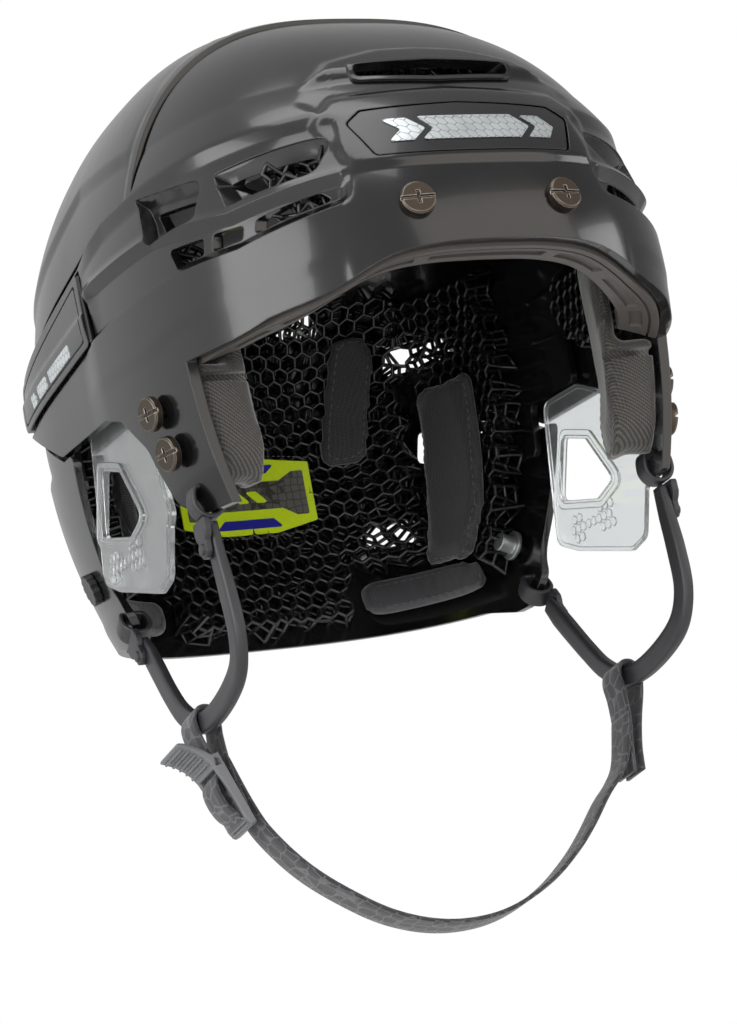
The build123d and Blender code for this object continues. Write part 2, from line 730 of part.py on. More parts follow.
def make_liner():
    """Every liner piece by name; one that ends in left or right has its mirror image too."""
    under_flange = 2 * shell_wall + slide_gap + pad_gap
    under_shell = shell_wall + seat_gap
    pad_face = under_flange + lattice_thick + pad_gap
    front_face = under_shell + lattice_thick + pad_gap
    reach = forehead_reach_share * front_reach
    inner = window_inner_share * half_width
    brow_room = both_sides(nut_room(brow_frame()))
    temple_rooms = [nut_room(side_frame(shares)) for shares in temple_screw_shares]
    crown_floor = crown_floor_share * crown_height
    crown = [(x * half_width, y * front_reach) for x, y in crown_lattice_shares]
    crown_strip = [(x * half_width, y * front_reach) for x, y in crown_pad_shares]
    rear_start = rear_lattice_reach_share * front_reach
    pieces = {}
    front = front_prism(front_points(forehead_lattice_shares), reach)
    pieces["forehead_lattice"] = pad(under_shell, lattice_thick, front, [brow_room])
    front = front_prism(front_points(forehead_pad_shares), reach)
    pieces["forehead_pad"] = pad(front_face, pad_thick, front)
    pieces["crown_lattice"] = pad(under_flange, lattice_thick, down_prism(crown, crown_floor))
    pieces["crown_pad"] = pad(pad_face, pad_thick, down_prism(crown_strip, crown_floor))
    rear = rear_prism(mirrored_front_points(rear_lattice_shares), rear_start)
    pieces["rear_lattice"] = pad(under_shell, lattice_thick, rear)
    rear = rear_prism(mirrored_front_points(patch_shares), rear_start)
    pieces["liner_patch"] = pad(under_shell + lattice_thick, patch_thick, rear)
    pairs = {}
    side = side_prism(side_points(side_lattice_shares), inner)
    pairs["side_lattice"] = pad(under_shell, lattice_thick, side, temple_rooms)
    side = side_prism(side_points(temple_pad_shares), inner)
    front_side = side_prism(side_points(temple_front_shares), inner)
    front_floor = shell_wall + temple_front_gap
    temple = pad(front_face, pad_thick, side) + pad(front_floor, front_face + pad_thick - front_floor, front_side)
    for room in temple_rooms:
        temple -= room
    pairs["temple_pad"] = largest(temple)
    side = side_prism(side_points(rear_side_lattice_shares), inner)
    strap_room = nut_room(side_frame(rear_screw_shares))
    pairs["rear_side_lattice"] = pad(under_flange, lattice_thick, side, [strap_room])
    side = side_prism(side_points(rear_side_pad_shares), inner)
    pairs["rear_side_pad"] = pad(pad_face, pad_thick, side)
    rear = rear_prism(front_points(occipital_shares), occipital_reach_share * front_reach)
    pairs["occipital_pad"] = pad(under_shell, occipital_thick, rear)
    rear = rear_prism(front_points(rib_shares), rear_start)
    pairs["rear_rib"] = pad(front_face, pad_thick, rear)
    return pieces, pairs


def make_brow_trim():
    """The moulded lip under the liner's lower edge, inside the brow."""
    half = [(x, z - trim_drop) for x, z in front_points(brow_edge_shares)[:-1]]
    upper = [(x, z + trim_depth) for x, z in half]
    points = [(-x, z) for x, z in reversed(half[1:])] + half
    points += upper[::-1] + [(-x, z) for x, z in upper[1:]]
    prism = front_prism(points, cheek_share * front_reach)
    return layer(shell_wall + seat_gap, shell_wall + seat_gap + trim_thick) & prism


def loop_reach():
    """How far the lower end of an end loop lies from the middle of its slot."""
    return slot_bar + slot_width / 2 + loop_play + loop_thick / 2


def past_slot(shares, way):
    y, z = side_points([shares])[0]
    return y + way[0] * loop_reach(), z + way[1] * loop_reach()


def flat_ends():
    """The two ends of the fork's bottom run, square to the chin strap."""
    y, z = side_points([fork_bottom_shares])[0]
    lean = math.radians(strap_lean)
    half = fork_flat_share * front_reach
    run = (math.cos(lean) * half, -math.sin(lean) * half)
    return [(y - run[0], z - run[1]), (y + run[0], z + run[1])]


def fork_path():
    points = [past_slot(front_slot_shares, front_arm_way())]
    points += side_points(fork_front_shares) + flat_ends() + side_points(fork_rear_shares)
    return points + [past_slot(rear_slot_shares, rear_arm_way())]


def end_loop(shares, way, x):
    """The closed end of an arm, round the bar between a slot and the shell's edge."""
    y, z = side_points([shares])[0]
    plane = Plane(origin=(x, y, z), x_dir=(1, 0, 0), z_dir=(0, way[1], -way[0]))
    inner_long = loop_reach()
    place = Pos(0, plane.to_local_coords(Vector(x, y + way[0], z + way[1])).Y * loop_reach() / 2)
    outer = place * RectangleRounded(loop_width + 2 * loop_thick, inner_long + loop_thick, loop_thick)
    inner = place * RectangleRounded(loop_width, inner_long - loop_thick, loop_thick / 2)
    return extrude(plane * (outer - inner), amount=fork_width / 2, both=True)


def end_tab(shares, way):
    """The T-shaped end of an arm, folded back and buttoned on the outside of the band."""
    y, z = past_slot(shares, way)
    turn = math.degrees(math.atan2(way[1], way[0]))
    set_back = tab_set_back + tab_length / 2
    place = Pos(y + way[0] * set_back, z + way[1] * set_back) * Rot(0, 0, turn)
    face = Plane.YZ.offset(fork_x + fork_thick)
    tab = extrude(face * place * RectangleRounded(tab_length, tab_width, tab_corner), amount=tab_thick)
    button = extrude(face * place * Circle(button_radius), amount=tab_thick + button_height)
    return tab + button


def make_fork():
    """A moulded band: front arm, bottom run and rear arm, with a closed loop at each end."""
    line = FilletPolyline(*fork_path(), radius=fork_bend_radius)
    band = extrude(Plane.YZ.offset(fork_x) * trace(line, fork_width), amount=fork_thick)
    band += end_loop(front_slot_shares, front_arm_way(), front_loop_x)
    band += end_loop(rear_slot_shares, rear_arm_way(), rear_loop_x)
    return band


def strap_plane():
    y, z = side_points([fork_bottom_shares])[0]
    lean = math.radians(strap_lean)
    return Plane(origin=(0, y, z), x_dir=(1, 0, 0), z_dir=(0, -math.cos(lean), math.sin(lean)))


def strap_place():
    """The strap plane turned so that Y runs up the slanted +X loop, from the middle of the fork."""
    return strap_plane() * Pos(fork_x + fork_thick / 2, 0) * Rot(0, 0, -loop_slant)


def slanted(down):
    turn = math.radians(loop_slant)
    return fork_x + fork_thick / 2 - down * math.sin(turn), -down * math.cos(turn)


def shifted(points, distance):
    """The path moved sideways by a distance, with its corners mitred."""
    moved = []
    for k, point in enumerate(points):
        here = Vector(*point)
        before = Vector(*points[max(k - 1, 0)])
        after = Vector(*points[min(k + 1, len(points) - 1)])
        first = (here - before).normalized() if k > 0 else (after - here).normalized()
        last = (after - here).normalized() if k < len(points) - 1 else first
        middle = (first + last).normalized()
        spread = distance / middle.dot(first)
        moved.append((here.X - middle.Y * spread, here.Y + middle.X * spread))
    return moved


def strap_path():
    """The chin strap from the wearer's left round under the chin to the right."""
    across = fork_x + fork_thick / 2
    ends = [slanted(strap_start), slanted(strap_leave)]
    left = ends + [(x * across, -s * strap_depth) for x, s in left_strap_shares]
    right = ends + [(x * across, -s * strap_depth) for x, s in right_strap_shares]
    return left + [(0, -strap_depth)] + [(-x, s) for x, s in reversed(right)]


def make_chin_strap():
    points = strap_path()
    outer = shifted(points, webbing_thick / 2)
    inner = shifted(points, -webbing_thick / 2)
    edge = [Line(outer[0], outer[1]), Spline(*outer[1:-1]), Line(outer[-2], outer[-1])]
    edge += [Line(outer[-1], inner[-1]), Line(inner[-1], inner[-2]), Spline(*inner[-2:0:-1])]
    edge += [Line(inner[1], inner[0]), Line(inner[0], outer[0])]
    return extrude(strap_plane() * make_face(edge), amount=webbing_width / 2, both=True)


def hairpin(room):
    """Half widths of the folded strip, from its top down, grown by a room."""
    pinch = webbing_thick / 2 + seat_gap + room
    wide = webbing_loop_half + room
    return [
        (wide, webbing_loop_top + room),
        (wide, -webbing_pinch_start),
        (pinch, -webbing_pinch_end),
        (pinch, -webbing_loop_length),
    ]


def make_webbing_loop():
    """A folded strip over the bottom of the fork whose two legs hold the end of the chin strap."""
    outer = hairpin(webbing_thick)
    inner = hairpin(0)
    inner[-1] = (inner[-1][0], -webbing_loop_length - webbing_thick)
    outer_face = make_face(Polyline(*outer, *[(-x, y) for x, y in reversed(outer)], close=True))
    inner_face = make_face(Polyline(*inner, *[(-x, y) for x, y in reversed(inner)], close=True))
    return extrude(strap_place() * (outer_face - inner_face), amount=webbing_width / 2, both=True)


def buckle_plane():
    """The outer face of the +X loop: X runs down the loop, Y across it, Z outward."""
    out = loop_stack_share * webbing_thick + 2 * seat_gap
    side = Vector(math.cos(math.radians(loop_slant)), -math.sin(math.radians(loop_slant)))
    plane = strap_plane()
    origin = plane.from_local_coords(Vector(*slanted(buckle_start)) + side * out)
    outward = plane.from_local_coords(side) - plane.origin
    downward = plane.from_local_coords(Vector(*slanted(1))) - plane.from_local_coords(Vector(*slanted(0)))
    return Plane(origin=origin, x_dir=downward, z_dir=outward)


def make_buckle():
    """A frame with three bars and a ribbed thumb tab on its upper bar."""
    face = buckle_plane()
    whole = face * Pos(buckle_length / 2, 0) * RectangleRounded(buckle_length, buckle_width, buckle_side)
    window_long = (buckle_length - 3 * buckle_bar) / 2
    window = Rectangle(window_long, buckle_width - 2 * buckle_side)
    frame = extrude(whole, amount=buckle_thick)
    for k in (1, 2):
        middle = k * buckle_bar + (k - 0.5) * window_long
        frame -= extrude(face * Pos(middle, 0) * window, amount=buckle_thick)
    thumb_face = face * Pos(buckle_bar, 0, buckle_thick / 2) * Rot(0, thumb_lift, 0)
    tab = Box(thumb_length, buckle_width, thumb_thick, align=(Align.MAX, Align.CENTER, Align.CENTER))
    tab = thumb_face * chamfer(tab.edges().filter_by(Axis.Z).group_by(Axis.X)[0], thumb_thick)
    pitch = (thumb_length - 2 * thumb_rib_rise) / thumb_ribs
    for k in range(thumb_ribs):
        place = Pos(-thumb_rib_rise - pitch * (k + 0.5), 0, thumb_thick / 2)
        rib = thumb_face * place * Box(pitch / 2, buckle_width - 2 * thumb_thick, 2 * thumb_rib_rise)
        tab += rib
    below_align = (Align.CENTER, Align.CENTER, Align.MAX)
    below = face * Box(cut_overrun, cut_overrun, cut_overrun, align=below_align)
    return mirror(frame + (tab - below), about=Plane.YZ)


def make_buckle_hump():
    """The webbing that rises over the middle bar between the two windows."""
    face = buckle_plane()
    window_long = (buckle_length - 3 * buckle_bar) / 2
    start = buckle_bar + seat_gap
    end = start + 2 * window_long + buckle_bar - 2 * seat_gap
    high = buckle_thick + seat_gap + hump_thick
    low = buckle_thick / 2
    middle = (start + end) / 2
    profile = Plane(origin=face.origin, x_dir=face.x_dir, z_dir=-face.y_dir)
    outer = [(start, low), (start + hump_thick, high), (middle, high + hump_rise / 2)]
    outer += [(end - hump_thick, high), (end, low)]
    inner = [(end - hump_thick, low), (middle + buckle_bar / 2 + seat_gap, low)]
    inner += [(middle + buckle_bar / 2 + seat_gap, buckle_thick + seat_gap)]
    inner += [(middle - buckle_bar / 2 - seat_gap, buckle_thick + seat_gap)]
    inner += [(middle - buckle_bar / 2 - seat_gap, low), (start + hump_thick, low)]
    sheet = make_face(Polyline(*outer, *inner, close=True))
    width = buckle_width / 2 - buckle_side - seat_gap
    return mirror(extrude(profile * sheet, amount=width, both=True), about=Plane.YZ)


save(make_front_shell(), "front_shell")
save(make_rear_shell(), "rear_shell")
save(make_badge(), "badge_plate")
save(make_inlay(), "badge_inlay")
save_pair(make_latch(), "latch")
save(both_sides(make_latch_pin()), "latch_pins")
hinge_top, hinge_low = latch_edge()
print("latch hinge", tuple(hinge_top), tuple(hinge_low))
save_pair(make_rack(), "size_rack")
save(both_sides(make_screw(brow_frame())), "brow_screws")
temple_screws = [make_screw(side_frame(shares)) for shares in temple_screw_shares]
save(both_sides(temple_screws[0] + temple_screws[1]), "temple_screws")
save(both_sides(make_nut(brow_frame())), "brow_nuts")
temple_nuts = [make_nut(side_frame(shares)) for shares in temple_screw_shares]
save(both_sides(temple_nuts[0] + temple_nuts[1]), "temple_nuts")
save(both_sides(make_rear_screw()), "strap_screws")
save(both_sides(make_nut(side_frame(rear_screw_shares))), "strap_nuts")
save_pair(make_guard(), "ear_guard")
save(make_brow_trim(), "brow_trim")
liner_pieces, liner_pairs = make_liner()
for name, piece in liner_pieces.items():
    save(piece, name)
for name, piece in liner_pairs.items():
    save_pair(piece, name)
save_pair(make_fork(), "strap_fork")
save(both_sides(end_tab(front_slot_shares, front_arm_way())), "front_strap_tabs")
save(both_sides(end_tab(rear_slot_shares, rear_arm_way())), "rear_strap_tabs")
save_pair(make_webbing_loop(), "webbing_loop")
save(make_chin_strap(), "chin_strap")
save(make_buckle(), "buckle")
save(make_buckle_hump(), "buckle_webbing")
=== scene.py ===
import bpy
import bmesh
import json
import math
import numpy as np
from mathutils import Matrix, Vector

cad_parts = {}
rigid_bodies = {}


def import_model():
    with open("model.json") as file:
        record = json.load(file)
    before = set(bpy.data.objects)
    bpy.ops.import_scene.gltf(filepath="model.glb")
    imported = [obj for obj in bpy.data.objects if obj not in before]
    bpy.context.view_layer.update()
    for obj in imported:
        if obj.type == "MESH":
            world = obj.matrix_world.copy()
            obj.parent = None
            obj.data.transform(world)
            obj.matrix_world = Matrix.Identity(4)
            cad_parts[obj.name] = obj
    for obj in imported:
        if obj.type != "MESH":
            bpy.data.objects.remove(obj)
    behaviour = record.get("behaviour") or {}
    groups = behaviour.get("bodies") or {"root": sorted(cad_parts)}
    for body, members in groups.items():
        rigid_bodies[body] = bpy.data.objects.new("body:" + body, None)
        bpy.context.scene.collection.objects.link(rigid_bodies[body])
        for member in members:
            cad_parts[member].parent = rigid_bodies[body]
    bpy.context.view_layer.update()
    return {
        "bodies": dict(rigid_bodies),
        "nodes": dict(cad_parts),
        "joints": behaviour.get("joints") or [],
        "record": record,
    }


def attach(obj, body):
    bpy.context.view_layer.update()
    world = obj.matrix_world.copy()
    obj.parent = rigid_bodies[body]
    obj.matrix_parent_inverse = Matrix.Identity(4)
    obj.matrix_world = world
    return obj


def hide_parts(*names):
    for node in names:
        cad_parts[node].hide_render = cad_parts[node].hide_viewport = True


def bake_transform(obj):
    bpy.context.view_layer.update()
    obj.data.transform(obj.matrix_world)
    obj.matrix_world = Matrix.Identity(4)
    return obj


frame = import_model()
MM = 0.001


# Camera.
# A long lens below the helmet's front, a little to the wearer's right, rolled to the left:
# the pose was matched to the photograph's frame of 737 by 1024 pixels.
def in_scene(name, data):
    """A new object, linked into the scene."""
    thing = bpy.data.objects.new(name, data)
    bpy.context.collection.objects.link(thing)
    return thing


focal_pixels, photo_height, sensor_width, camera_distance = 2928.03, 1024, 36, 1.10203
camera_turn, camera_rise, camera_roll = math.radians(-24.66), math.radians(-10.39), math.radians(9.39)
camera_target = Vector((-3.4, 0, -53.77)) * MM
camera_back = Vector((math.sin(camera_turn) * math.cos(camera_rise),
                      -math.cos(camera_turn) * math.cos(camera_rise), math.sin(camera_rise)))
level_right = Vector((math.cos(camera_turn), math.sin(camera_turn), 0))
level_up = camera_back.cross(level_right)
camera_right = level_right * math.cos(camera_roll) - level_up * math.sin(camera_roll)
camera_up = level_right * math.sin(camera_roll) + level_up * math.cos(camera_roll)
camera = in_scene("camera", bpy.data.cameras.new("camera"))
camera.data.lens = focal_pixels / photo_height * sensor_width
camera.data.clip_start, camera.data.clip_end = 0.05, 50
camera.matrix_world = Matrix.Translation(camera_target + camera_back * camera_distance) @ Matrix(
    (camera_right, camera_up, camera_back)).transposed().to_4x4()
bpy.context.scene.camera = camera
bpy.context.scene.view_settings.view_transform = "Standard"


# Studio.
# A white cyclorama all round and five soft square lamps: on the left, above, in front, a weaker one on the
# right and a warm card beside the camera. A pale floor lies well below the helmet, which hangs free.
def linear(code):
    """A hex colour as linear red, green, blue, alpha."""
    parts = [int(code[k:k + 2], 16) / 255 for k in (1, 3, 5)]
    return tuple(p / 12.92 if p <= 0.04045 else ((p + 0.055) / 1.055) ** 2.4 for p in parts) + (1.0,)


def fill(tree, node, values):
    """Sets a node's inputs and properties; where a value is a node or a socket, it is linked."""
    for key, value in values.items():
        if isinstance(value, bpy.types.Node):
            value = value.outputs[0]
        if isinstance(value, bpy.types.NodeSocket):
            tree.links.new(value, node.inputs[key])
        elif isinstance(key, int) or key in node.inputs:
            node.inputs[key].default_value = value
        else:
            setattr(node, key, value)
    return node


def add(tree, kind, values=()):
    """Adds a shader, geometry or function node by its short name and fills it."""
    homes = [home for home in ("Shader", "Geometry", "Function") if hasattr(bpy.types, home + "Node" + kind)]
    return fill(tree, tree.nodes.new(homes[0] + "Node" + kind), dict(values))


def new_material(name):
    """An empty principled material: returns it, its tree and the shader."""
    material = bpy.data.materials.new(name)
    material.use_nodes = True
    return material, material.node_tree, material.node_tree.nodes["Principled BSDF"]


def calc(tree, kind, *values):
    """A math node on one to three numbers."""
    return add(tree, "Math", {"operation": kind, **dict(enumerate(values))})


def ramp(tree, value, low, high, start=0.0, end=1.0):
    """A value between low and high brought to between start and end."""
    return add(tree, "MapRange",
               {0: value, "From Min": low, "From Max": high, "To Min": start, "To Max": end})


world = bpy.data.worlds.new("studio_white")
bpy.context.scene.world = world
world.use_nodes = True
sky = world.node_tree
sky.nodes.clear()
paths = add(sky, "LightPath")
seen = calc(sky, "MAXIMUM", paths.outputs["Is Camera Ray"], paths.outputs["Is Transmission Ray"])
around = add(sky, "TexCoord")
spread = add(sky, "SeparateXYZ", {0: around.outputs["Generated"]})
side_light = ramp(sky, spread.outputs["X"], -0.9, 0.75, 1.0, 0.32)
room_white = add(sky, "Mix", {"data_type": "FLOAT", 3: 1.0, 0: seen, 2: side_light})
lit = add(sky, "Background", {"Color": (1, 1, 1, 1), "Strength": room_white})
add(sky, "OutputWorld", {"Surface": lit})

lamp_target, plain_white, warm_white = Vector((0, 0, -0.03)), (1, 1, 1), (1.0, 0.92, 0.84)
for name, place, size, power in (("lamp_left", (-1.5, -0.5, 0.35), 1.3, 20),
                                 ("lamp_top", (-0.2, -0.5, 1.5), 1.2, 12),
                                 ("lamp_right", (1.4, -0.7, 0.3), 0.7, 5),
                                 ("lamp_front", (-0.4, -1.6, -0.3), 0.9, 9),
                                 ("lamp_card_warm", (0.75, -1.5, 0.5), 1.3, 7)):
    lamp = in_scene(name, bpy.data.lights.new(name, "AREA"))
    lamp.data.size = size
    lamp.data.energy = power
    lamp.data.color = warm_white if name == "lamp_card_warm" else plain_white
    lamp.location = place
    lamp.rotation_euler = (lamp_target - Vector(place)).to_track_quat("-Z", "Y").to_euler()

floor_half, floor_height = 4, -0.4
floor = in_scene("floor", bpy.data.meshes.new("floor"))
floor.data.from_pydata([(x * floor_half, y * floor_half, floor_height) for x,
                        y in ((-1, -1), (1, -1), (1, 1), (-1, 1))], [], [(0, 1, 2, 3)])
floor_paint, tree, shader = new_material("floor_matt_white_paint")
fill(tree, shader, {"Base Color": linear("#E9E9E9"), "Roughness": 0.8})
floor.data.materials.append(floor_paint)


# Chin strap.
# One length of woven polyester webbing, 15 mm wide, hanging from both forks and passing under the chin.
# A faint grey net of uneven cells is printed on it.
def smooth_path(points, step):
    """A smooth line through the points, in equal steps."""
    points = np.array(points, float)
    padded = np.vstack([2 * points[0] - points[1], points, 2 * points[-1] - points[-2]])
    dense = []
    for a, b, c, d in zip(padded, padded[1:], padded[2:], padded[3:]):
        for t in np.linspace(0, 1, 40, endpoint=False):
            dense.append(0.5
                         * (2 * b + (c - a) * t + (2 * a - 5 * b + 4 * c - d) * t**2 + (3 * b - a - 3 * c + d)
                            * t**3))
    dense = np.array(dense + [points[-1]])
    run = np.concatenate([[0], np.cumsum(np.linalg.norm(np.diff(dense, axis=0), axis=1))])
    at = np.linspace(0, run[-1], max(int(round(run[-1] / step)), 2) + 1)
    return np.stack([np.interp(at, run, dense[:, k]) for k in range(dense.shape[1])], axis=1)


def new_piece(name, points, faces, material=None):
    """A smooth-shaded mesh object from points in metres and faces."""
    mesh = bpy.data.meshes.new(name)
    mesh.from_pydata([tuple(p) for p in points], [], faces)
    mesh.update()
    mesh.shade_smooth()
    if material:
        mesh.materials.append(material)
    return in_scene(name, mesh)


def turned_outward(piece):
    """Turns all faces of a closed piece outward."""
    work = bmesh.new()
    work.from_mesh(piece.data)
    bmesh.ops.recalc_face_normals(work, faces=work.faces)
    work.to_mesh(piece.data)
    work.free()
    return piece


def unit(rows):
    """Vectors brought to a length of one."""
    return rows / np.maximum(np.linalg.norm(rows, axis=-1, keepdims=True), 1e-9)


def band(name, path, side, width, thick, material, corner=0.35, wave=0.0):
    """A flat strip along a path, in millimetres; side is the way of its width, or one for each point."""
    path = np.array(path, float)
    along = unit(np.gradient(path, axis=0))
    side = np.broadcast_to(np.array(side, float), path.shape)
    side = unit(side - along * (side * along).sum(1)[:, None])
    face = np.cross(along, side)
    width = np.broadcast_to(np.array(width, float), len(path))
    thick = np.broadcast_to(np.array(thick, float), len(path))
    ring = []
    for sx, sy, turns in ((1, 1, (0, 45, 90)), (-1, 1, (90, 135, 180)), (-1, -1, (180, 225, 270)),
                          (1, -1, (270, 315, 360))):
        for turn in turns:
            ring.append((sx, sy, math.cos(math.radians(turn)), math.sin(math.radians(turn))))
    ring.insert(3, (0.33, 1, 0, 1))
    ring.insert(4, (-0.33, 1, 0, 1))
    ring.insert(len(ring) - 3, (-0.33, -1, 0, -1))
    ring.insert(len(ring) - 3, (0.33, -1, 0, -1))
    rows = []
    uv_rows = []
    run = np.concatenate([[0], np.cumsum(np.linalg.norm(np.diff(path, axis=0), axis=1))])
    ripple = wave * np.sin(run / 9.0) * np.sin(run / 23.0)
    for sx, sy, cx, cy in ring:
        radius = corner * thick
        across = sx * (width / 2 - radius) + cx * radius if abs(sx) == 1 else sx * width / 2
        deep = sy * (thick / 2 - radius) + cy * radius
        rows.append(path + side * across[:, None] + face * (deep + ripple)[:, None])
        uv_rows.append(across)
    count = len(ring)
    points = np.stack(rows, 1).reshape(-1, 3) * MM
    faces = [(k * count + j, k * count + (j + 1) % count, (k + 1) * count + (j + 1) % count,
              (k + 1) * count + j) for k in range(len(path) - 1) for j in range(count)]
    faces += [tuple(range(count))[::-1], tuple((len(path) - 1) * count + j for j in range(count))]
    piece = new_piece(name, points, faces, material)
    cloth_map = piece.data.uv_layers.new(name="run")
    across = np.stack(uv_rows, 1)
    turned = np.array([sy for sx, sy, cx, cy in ring])
    for loop in piece.data.loops:
        k, j = divmod(loop.vertex_index, count)
        cloth_map.data[loop.index].uv = (run[k] * MM, (across[k, j] + 40 * (turned[j] < 0)) * MM)
    return turned_outward(piece)


def noise(tree, scale, detail, place=None):
    """Cloudy noise, its scale given per metre in the coordinates of place."""
    node = add(tree, "TexNoise", {"Scale": scale, "Detail": detail})
    return node if place is None else fill(tree, node, {"Vector": place})


def mixed_colour(tree, share, first, second, kind="MIX"):
    """A colour between two, or their product for the kind MULTIPLY."""
    return add(tree, "Mix",
               {"data_type": "RGBA", "blend_type": kind, 0: share, 6: first, 7: second}).outputs[2]


def bumps(tree, height, strength, distance, edge=None):
    """A normal that follows a height, laid over a rounded edge's normal where one is given."""
    node = add(tree, "Bump", {"Strength": strength, "Distance": distance, "Height": height})
    return node if edge is None else fill(tree, node, {"Normal": edge})


def webbing_material(name):
    """Woven polyester: dull black with a soft sheen and ribs across the strip, drawn 0.7 mm wide to show."""
    material, tree, shader = new_material(name)
    run = add(tree, "UVMap", {"uv_map": "run"})
    ribs = add(tree, "TexWave", {"Scale": 1 / (0.7 * MM) / 20, "bands_direction": "X", "Vector": run})
    threads = add(tree, "TexWave", {"Scale": 1 / (1.1 * MM) / 20, "bands_direction": "Y", "Vector": run})
    weave = calc(tree, "MULTIPLY", ribs.outputs["Fac"], threads.outputs["Fac"])
    fuzz = noise(tree, 900.0, 3.0)
    tint = mixed_colour(tree, fuzz, linear("#17171A"), linear("#232327"))
    cells = add(tree, "TexVoronoi",
                {"feature": "DISTANCE_TO_EDGE", "Scale": 1 / (5.5 * MM), "Randomness": 0.55, "Vector": run})
    line = add(tree, "MapRange",
               {"From Min": 0.03, "From Max": 0.075, "To Min": 0.75, "To Max": 0.0,
                "interpolation_type": "SMOOTHSTEP", 0: cells})
    patchy = noise(tree, 90.0, 2.0)
    line_part = calc(tree, "MULTIPLY", line, patchy)
    printed = mixed_colour(tree, line_part, tint, linear("#6E6E72"))
    bump = bumps(tree, weave, 0.5, 0.00018)
    fill(tree, shader,
         {"Roughness": 0.78, "Sheen Weight": 0.25, "Sheen Roughness": 0.5, "Base Color": printed,
          "Normal": bump})
    return material


webbing_printed = webbing_material("webbing_woven_polyester_printed")
strap_lean = math.radians(10)
strap_origin = np.array([0, -8.16, -126.48])
strap_down = np.array([0, -math.sin(strap_lean), -math.cos(strap_lean)])
strap_side = np.array([0, math.cos(strap_lean), -math.sin(strap_lean)])


def in_strap_plane(points):
    """Points of the strap's leaning plane, given across and down in millimetres."""
    return [strap_origin + np.array([x, 0, 0]) + strap_down * s for x, s in points]


strap_line = [(81.5, 17), (76.5, 33), (71.5, 40.5), (64.4, 47.5), (55.2, 58), (45.2, 67.5), (32.2, 77),
              (15.7, 84.2), (0, 87), (-15.7, 85.8), (-32.2, 80), (-47, 70.6), (-60, 59.3), (-70.5, 46.2),
              (-75.5, 36), (-81.5, 17)]
chin_strap = band("chin_strap_webbing", smooth_path(in_strap_plane(strap_line), 1.5), strap_side, 15, 1.5,
                  webbing_printed, wave=0.15)
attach(chin_strap, "chin")
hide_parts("chin_strap")


# Webbing folds.
# Each end of the chin strap goes up, over the bottom of its fork and back down, and is stitched to itself.
# On the wearer's right a second layer runs on up the fork's rear arm and hangs loose past the fold; it is not
# drawn here.
for side, name in ((1, "left"), (-1, "right")):
    fold_line = [(78.6, 40), (80.2, 31), (82.4, 20), (83.2, 9), (83.0, 2), (85.0, -2.6), (88.2, -2.8),
                 (90.6, 1.5), (89.4, 9), (85.6, 20), (82.6, 31), (81.2, 40)]
    lean_in = [(x - 1.2 if k < 6 else x, s) for k, (x, s) in enumerate(fold_line)]
    path = smooth_path(in_strap_plane([(side * x, s) for x, s in lean_in]), 0.8)
    fold = band("webbing_fold_" + name, path, strap_side, 15, 1.4, webbing_printed, wave=0.1)
    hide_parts("webbing_loop_" + name)
    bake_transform(fold)


# Side fork straps.
# Two moulded elastomer bands, 4 by 8 mm, each a front arm and a rear arm that meet in a rounded bottom.
# Each arm's thinned end passes through a slot in its shell and buttons back on itself with a T-shaped tab.
def rubber_material(name, code, rough):
    """Moulded plastic or elastomer: one even satin colour with a fine 0.4 mm grain from the mould."""
    material, tree, shader = new_material(name)
    place = add(tree, "TexCoord").outputs["Object"]
    grain = noise(tree, 1 / (0.4 * MM), 2.0, place)
    cloud = noise(tree, 45.0, 3.0, place)
    shine = ramp(tree, cloud, 0, 1, rough - 0.07, rough + 0.09)
    edge = add(tree, "Bevel", {"samples": 4, "Radius": 0.0005})
    bump = bumps(tree, grain, 0.12, 0.0002, edge)
    fill(tree, shader, {"Base Color": linear(code), "Roughness": shine, "Normal": bump})
    return material


moulded_rubber = rubber_material("elastomer_moulded_satin", "#232326", 0.42)


def block(name, corners, depth, material, bevel=0.5, segments=3):
    """An extruded outline in millimetres: corners are points in space, depth is how far it is drawn out."""
    low = [Vector(c) * MM for c in corners]
    high = [c + Vector(depth) * MM for c in low]
    count = len(low)
    faces = [tuple(range(count))[::-1], tuple(range(count, 2 * count))]
    faces += [(k, (k + 1) % count, (k + 1) % count + count, k + count) for k in range(count)]
    piece = new_piece(name, low + high, faces, material)
    tidy = bmesh.new()
    tidy.from_mesh(piece.data)
    bmesh.ops.recalc_face_normals(tidy, faces=tidy.faces)
    bmesh.ops.bevel(tidy, geom=tidy.edges[:], offset=bevel * MM, segments=segments, profile=0.6,
                    affect="EDGES", clamp_overlap=True)
    tidy.to_mesh(piece.data)
    tidy.free()
    piece.data.shade_smooth()
    piece.data.set_sharp_from_angle(angle=math.radians(50))
    return piece


def join(name, pieces):
    """One piece from several, which keep their own shapes."""
    whole = bmesh.new()
    materials = []
    for piece in pieces:
        for slot_material in piece.data.materials:
            if slot_material not in materials:
                materials.append(slot_material)
        index = [materials.index(m) for m in piece.data.materials]
        before = len(whole.faces)
        whole.from_mesh(piece.data)
        whole.faces.ensure_lookup_table()
        for face in whole.faces[before:]:
            face.material_index = index[face.material_index] if index else 0
        bpy.data.objects.remove(piece)
    mesh = bpy.data.meshes.new(name)
    whole.to_mesh(mesh)
    whole.free()
    for m in materials:
        mesh.materials.append(m)
    return in_scene(name, mesh)


def mirrored(piece, name):
    """A copy on the other side of the centre plane, its faces turned outward again."""
    mesh = piece.data.copy()
    mesh.name = name
    mesh.transform(Matrix.Scale(-1, 4, (1, 0, 0)))
    mesh.flip_normals()
    return in_scene(name, mesh)


